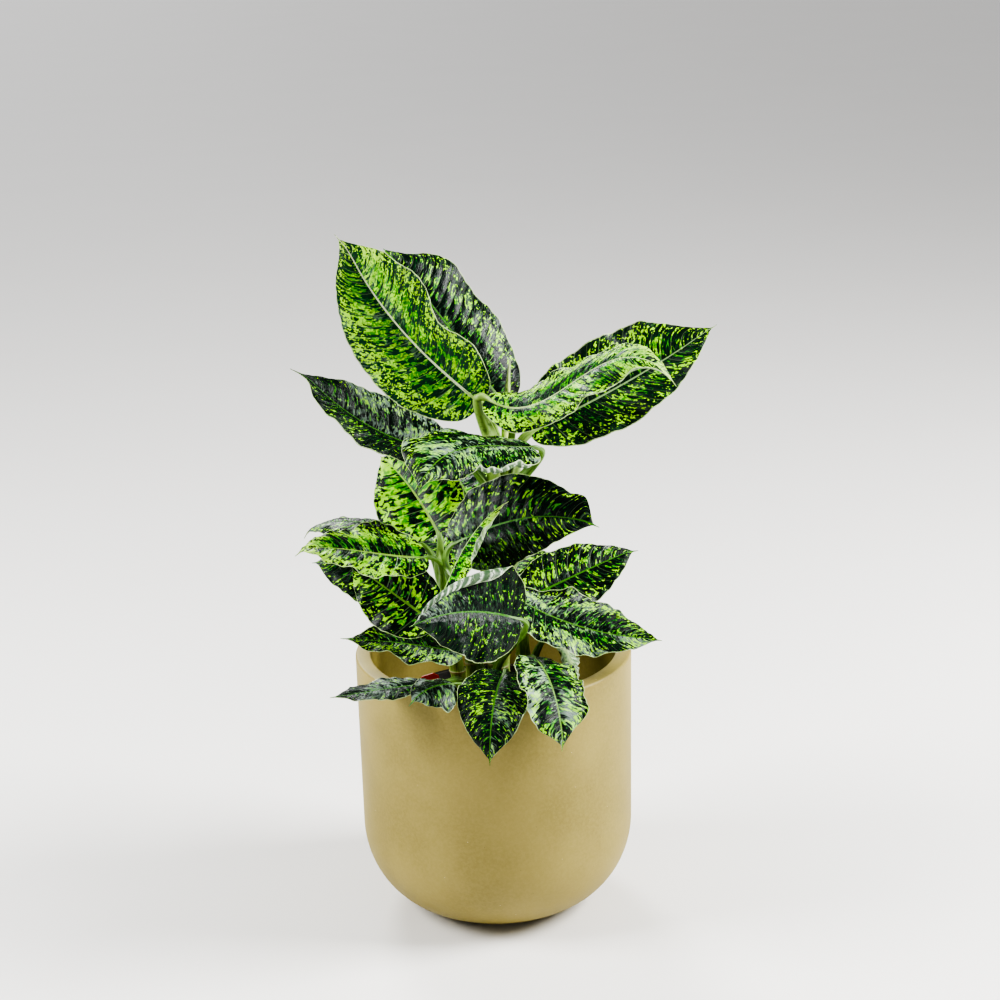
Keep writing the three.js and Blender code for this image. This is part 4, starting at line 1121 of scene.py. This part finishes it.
# %% Upper side
def leaf_upper():
    finish = Finish("leaf_upper")
    mask, on = lime_pattern(finish)
    streak, fleck, patch, lime, age = [on[name] for name in ("streak", "fleck", "patch", "lime", "age")]
    # Painted sheen: a pale film in patches, where the waxy blade would reflect the light.
    painted_light = stored_number(finish, "painted_light") * ease(streak * 0.5 + patch * 0.5, 0.49, 0.6)
    ground = painted(
        blend(ease(streak, 0.4, 0.75), tint(4, 18, 12), tint(12, 46, 22)),
        ((1 - ease(age, 0.1, 0.25)) * 0.7, tint(20, 62, 36)),
        (painted_light, tint(140, 164, 150)),
    )
    tone = ease(fleck * 0.6 + patch * 0.5 + on["outer"] * 0.1, 0.5, 0.68)
    pale = ease(on["way"] + on["edge"] * 0.35, 0.75, 1.3) * ease(lime, 0.35, 0.75)
    fresh = painted(
        blend(tone, tint(46, 146, 0), tint(172, 234, 32)),
        (pale * 0.6, tint(222, 240, 130)),
        (age * 0.4, tint(66, 138, 14)),
    )
    halo = ease(on["grain"], -0.05, -0.012) * (1 - mask)
    veins = vein_line(finish, width=0.06)
    # The thin pale margin: partly the leaf's own pale edge, partly painted rim light.
    margin = ease(on["edge"] + fleck * 0.02, 0.988, 1)
    rib_width = 0.4 + (1 - on["way"]) * (0.5 + (1 - age) * 0.7)
    rib = 1 - ease(size_of(on["across"]) / rib_width, 0.7, 1.25)
    rib_colour = blend(ease(lime, 0.3, 0.62), tint(66, 124, 32), tint(150, 186, 84))
    rib_colour = blend(ease(age, 0.1, 0.26), tint(218, 230, 188), rib_colour)
    net = cloud(join(on["along"] / 0.9, on["across"] / 2.2, on["seed"]), detail=3, rough=0.65)
    return finish.close({
        "Base Color": painted(
            blend(mask, ground, fresh),
            (halo * (0.25 + lime * 0.65), tint(22, 104, 14)),
            (veins * patch * (0.06 + lime * 0.6), tint(172, 206, 140)),
            # More painted sheen, paler, laid over the marks as well.
            (painted_light * 0.3, tint(190, 206, 186)),
            (margin * 0.75, tint(190, 210, 150)),
            (rib * 0.94, rib_colour),
        ),
        "Roughness": 0.15 + net * 0.2,
        "Specular IOR Level": 0.2,
        "Normal": relief(net * 0.7 - veins * 0.5 + rib * 0.3 + mask * 0.1 + streak * 0.8, 0.7, 0.8),
    })


upper_green = leaf_upper()

# %% [markdown]
# ### The underside
#
# From below a blade is pale, almost whitish, and the lime pattern shows only as a faint trace. The
# raised veins are paler still. Where a margin has rolled right over, its underside is seen from above:
# there it is crimped, and painted highlights lie whitish on its ridges, with painted shade in dark green
# between them. One tint would pass for most leaves, but those rolled margins face the camera, so the
# underside gets a recipe of its own from the same pattern.

# %% Underside
def leaf_under():
    finish = Finish("leaf_under")
    mask, on = lime_pattern(finish)
    # The stored painted light says how strongly a rolled margin's underside gets painted highlights and
    # shade.
    streak, light_share = on["streak"], stored_number(finish, "painted_light")
    veins = vein_line(finish, width=0.24)
    crimp = vein_line(finish, width=0.34, times=1.6) * ease(streak + on["fleck"], 0.8, 1.05)
    rib = 1 - ease(size_of(on["across"]), 1.6, 3.2)
    net = cloud(join(on["along"] / 0.9, on["across"] / 2.6, on["seed"]), detail=3, rough=0.6)
    return finish.close({
        "Base Color": painted(
            blend(ease(streak, 0.3, 0.7), tint(86, 122, 74), tint(130, 164, 106)),
            # Painted shade: the pale underside of a rolled margin darkened to the green of the grooves.
            (light_share * 0.85, tint(40, 68, 44)),
            (mask * (0.5 - light_share * 0.3), tint(178, 204, 132)),
            (veins * (0.16 - light_share * 0.1), tint(214, 226, 200)),
            # Painted highlights: whitish light on the ridges of the crimp.
            (crimp * light_share, tint(214, 226, 206)),
            (rib * 0.8, tint(170, 200, 120)),
            (ease(on["edge"], 0.97, 0.99) * 0.6, tint(206, 218, 184)),
        ),
        "Roughness": 0.48 + net * 0.16,
        "Normal": relief(veins * 0.8 + crimp * light_share * 2 + net * 0.5, 0.5, 0.6),
    })


under_green = leaf_under()

# %% [markdown]
# ### The stalk's finish
#
# The stalks are light green with long pale streaks and darker marbling, and the thin edges of the sheath
# are nearly white. Noise drawn out along the stalk gives the streaks, and a number stored with the wings
# says where the pale edges are, because no noise could find them.

# %% Stalk
def leaf_stalk():
    finish = Finish("leaf_stalk")
    way, around, wing = split(stored(finish, "spot"))
    _, age, seed = split(stored(finish, "kind"))
    streak = cloud(join(way / 16, around / 1.3, seed * 4), detail=4, rough=0.6)
    marble = cloud(join(way / 5, around / 2.4, seed * 9), detail=3, warp=0.8)
    young = 1 - ease(age, 0.15, 0.3)
    return finish.close({
        "Base Color": painted(
            blend(ease(streak, 0.3, 0.7), tint(66, 106, 34), tint(122, 160, 68)),
            (young * 0.7, tint(164, 194, 100)),
            (ease(marble, 0.56, 0.66) * 0.5, tint(64, 104, 44)),
            (ease(wing, 0.55, 0.95) * 0.5, tint(200, 212, 160)),
        ),
        "Roughness": 0.36 + streak * 0.16,
        "Coat Weight": 0.1,
        "Coat Roughness": 0.35,
        "Normal": relief(streak + marble * 0.5, 0.4, 0.4),
    })


stalk_green = leaf_stalk()

# %% [markdown]
# ## Grow every leaf
#
# Blade and stalk go into one mesh, because they are one leaf. The three finishes are chosen face by face.
# Each leaf gets its own seed, so that neither its unevenness nor its pattern is like another's.

# %% Build the leaves
def measured(row, seed):
    """A row of the table with what it leaves out, its midrib's length and how many veins it has."""
    leaf = {**PLAIN_LEAF, **row, "seed": seed}
    places, _ = on_curve(midrib(leaf)[0], np.linspace(0, 1, 40))
    leaf["length"] = float(np.sum(np.linalg.norm(np.diff(places, axis=0), axis=1)))
    leaf["veins"] = max(VEIN["fewest"], round(leaf["length"] / VEIN["gap"]))
    return leaf


def painted_light_shares(leaf, way, across, edge):
    """How much painted sheen each point gets; on the underside, painted crimp highlights and shade."""
    base_left, base_right, tip_left, tip_right, ridges = leaf["painted_light"]
    at_base, at_tip = by_half((base_left, base_right), across), by_half((tip_left, tip_right), across)
    light_share = at_base * (1 - way) ** 2 + at_tip * way**2 + np.minimum(at_base, at_tip) * way * (1 - way) * 2
    half = len(light_share) // 2
    light_share[half:] = ridges * soft_step(edge[half:], 0.45, 0.7)
    return light_share


def grow(name, leaf):
    """The mesh object of one leaf, in the place of its solid."""
    points, faces, kinds, spots = blade_mesh(leaf)
    stalk_points, stalk_faces, stalk_spots = stalk_mesh(leaf)
    first, rest = len(points), np.zeros(len(stalk_points))
    faces += [tuple(first + i for i in face) for face in stalk_faces]
    kinds += [2] * len(stalk_faces)
    piece = new_piece(name, np.concatenate((points, stalk_points)), faces, upper_green, crease=75)
    piece.data.materials.append(under_green)
    piece.data.materials.append(stalk_green)
    piece.data.polygons.foreach_set("material_index", kinds)
    count = len(piece.data.vertices)
    along, across, edge = spots.T
    way = along / leaf["length"]
    vein = way * leaf["veins"] + by_half((0.5, 0), across)
    store(piece, "spot", np.concatenate((spots, stalk_spots)))
    store(piece, "kind", np.tile((leaf["lime"], leaf["age"], leaf["seed"]), (count, 1)))
    store(piece, "mark", np.full(count, leaf["mark"]))
    # The painted light is stored too: painted sheen on top, painted highlight and shade on rolled
    # undersides.
    for layer, values in (("vein", vein), ("way", way), ("painted_light", painted_light_shares(leaf, way, across, edge))):
        store(piece, layer, np.concatenate((values, rest)))
    return piece


triangles = 0
for index, (leaf_name, row) in enumerate(LEAVES.items()):
    blade = grow(leaf_name.replace("leaf_", "blade_"), measured(row, index + 1))
    stand_for(blade, leaf_name)
    triangles += sum(len(face.vertices) - 2 for face in blade.data.polygons)
print("leaves:", len(LEAVES), "with", triangles, "triangles")

# %% [markdown]
# ## The new leaf
#
# The youngest leaf is still rolled up like an umbrella. Its free margin shows as a seam that winds up the
# spindle, so the section is not a circle but a short spiral with one step.

# %% Roll the new leaf
NEW_LEAF = dict(cane="tall", tip=(21, 12, 508), foot=2.4, middle=3.4, end=0.5, widest=0.4, turns=0.9)
NEW_LEAF_SECTION = dict(inner=0.9, seam=0.14, taper=1.6)
NEW_LEAF_SPAN = (86, 20)


def rolled_mesh(row, steps=60, sides=40):
    """A spindle whose section is one turn of a spiral, and where on the leaf each point lies."""
    cane = CANES[row["cane"]]
    foot = cane_centre(cane, cane["top"][2])
    rise = np.array(row["tip"], float) - foot
    side = unit(np.cross(unit(rise), (0, 1, 0)))
    w = np.arange(steps + 1)[:, None] / steps
    widest, middle = row["widest"], row["middle"]
    lower = row["foot"] + (middle - row["foot"]) * np.sin(np.pi / 2 * w / widest)
    fade = np.maximum((w - widest) / (1 - widest), 0)
    upper = row["end"] + (middle - row["end"]) * (1 - fade ** NEW_LEAF_SECTION["taper"])
    roll = (np.arange(sides) / sides + w * row["turns"]) % 1
    spiral = np.where(w < widest, lower, upper)
    spiral = spiral * (NEW_LEAF_SECTION["inner"] + NEW_LEAF_SECTION["seam"] * roll)
    points, faces = sweep(foot + rise * w, side, np.cross(unit(rise), side), spiral)
    spots = np.stack(np.broadcast_arrays(w * NEW_LEAF_SPAN[0], roll * NEW_LEAF_SPAN[1], 0.0), -1)
    return points, faces, spots.reshape(-1, 3)


def rolled_finish():
    finish = Finish("new_leaf_pale")
    way, around, _ = split(stored(finish, "spot"))
    streak = cloud(join(way / 6, around / 2.2, 3.0), detail=3, warp=0.4)
    colour = blend(ease(streak, 0.42, 0.58), tint(96, 142, 48), tint(196, 214, 122))
    # The colour turns whitish towards the tip: a painted highlight where the spear catches the light.
    return finish.close({
        "Base Color": blend(ease(way, 50, 84) * 0.6, colour, tint(222, 228, 186)),
        "Roughness": 0.36 + streak * 0.14,
        "Normal": relief(streak, 0.3, 0.5),
    })


rolled_points, rolled_faces, rolled_spots = rolled_mesh(NEW_LEAF)
new_leaf = new_piece("new_leaf", rolled_points, rolled_faces, rolled_finish(), crease=60)
store(new_leaf, "spot", rolled_spots)
stand_for(new_leaf, "leaf_new_rolled")
print("new leaf:", len(new_leaf.data.polygons), "faces")

# %% [markdown]
# ## The studio
#
# A plain pale floor and soft light. A big soft box stands at either side, because the planter in the
# photograph is bright at both sides and darker in the middle. A low, veiled sun behind the plant draws
# the pale rims of the leaves, and lights the floor evenly a long way back.

# %% Floor and lights
FLOOR = 20000
BOX_SIZE = (1.0, 1.1)
BOX_AIM = (0, 0, 0.3)
BOXES = {
    "light_left": dict(spot=(-1.75, -0.3, 1.5), power=62),
    "light_right": dict(spot=(1.8, -0.1, 1.5), power=104),
}
SUN = dict(toward=(-0.3, 1.0, 0.62), power=1.7, spread=18)
SKY = dict(color=(0.95, 0.96, 1.0, 1), strength=0.28)


def floor_finish():
    finish = Finish("floor_pale")
    grain = cloud(object_place(finish), scale=0.004, detail=3)
    colour = blend(grain * 0.4, tint(226, 224, 220), tint(218, 216, 212))
    return finish.close({"Base Color": colour, "Roughness": 0.7})


floor_points = [(-FLOOR, -FLOOR, 0), (FLOOR, -FLOOR, 0), (FLOOR, FLOOR, 0), (-FLOOR, FLOOR, 0)]
floor = new_piece("floor", floor_points, [(0, 1, 2, 3)], floor_finish())


def add_light(name, kind, backward, power):
    """A lamp whose back faces this way; it shines the other way."""
    lamp = put_in_scene(name, bpy.data.lights.new(name, kind))
    lamp.rotation_euler = Vector(backward).to_track_quat("Z", "Y").to_euler()
    lamp.data.energy = power
    return lamp


for name, box in BOXES.items():
    light = add_light(name, "AREA", Vector(box["spot"]) - Vector(BOX_AIM), box["power"])
    light.location = box["spot"]
    light.data.shape = "RECTANGLE"
    light.data.size, light.data.size_y = BOX_SIZE

add_light("light_behind", "SUN", SUN["toward"], SUN["power"]).data.angle = math.radians(SUN["spread"])

world = bpy.data.worlds.new("studio")
world.use_nodes = True
world.node_tree.nodes["Background"].inputs["Color"].default_value = SKY["color"]
world.node_tree.nodes["Background"].inputs["Strength"].default_value = SKY["strength"]
bpy.context.scene.world = world
bpy.context.scene.view_settings.look = "AgX - High Contrast"
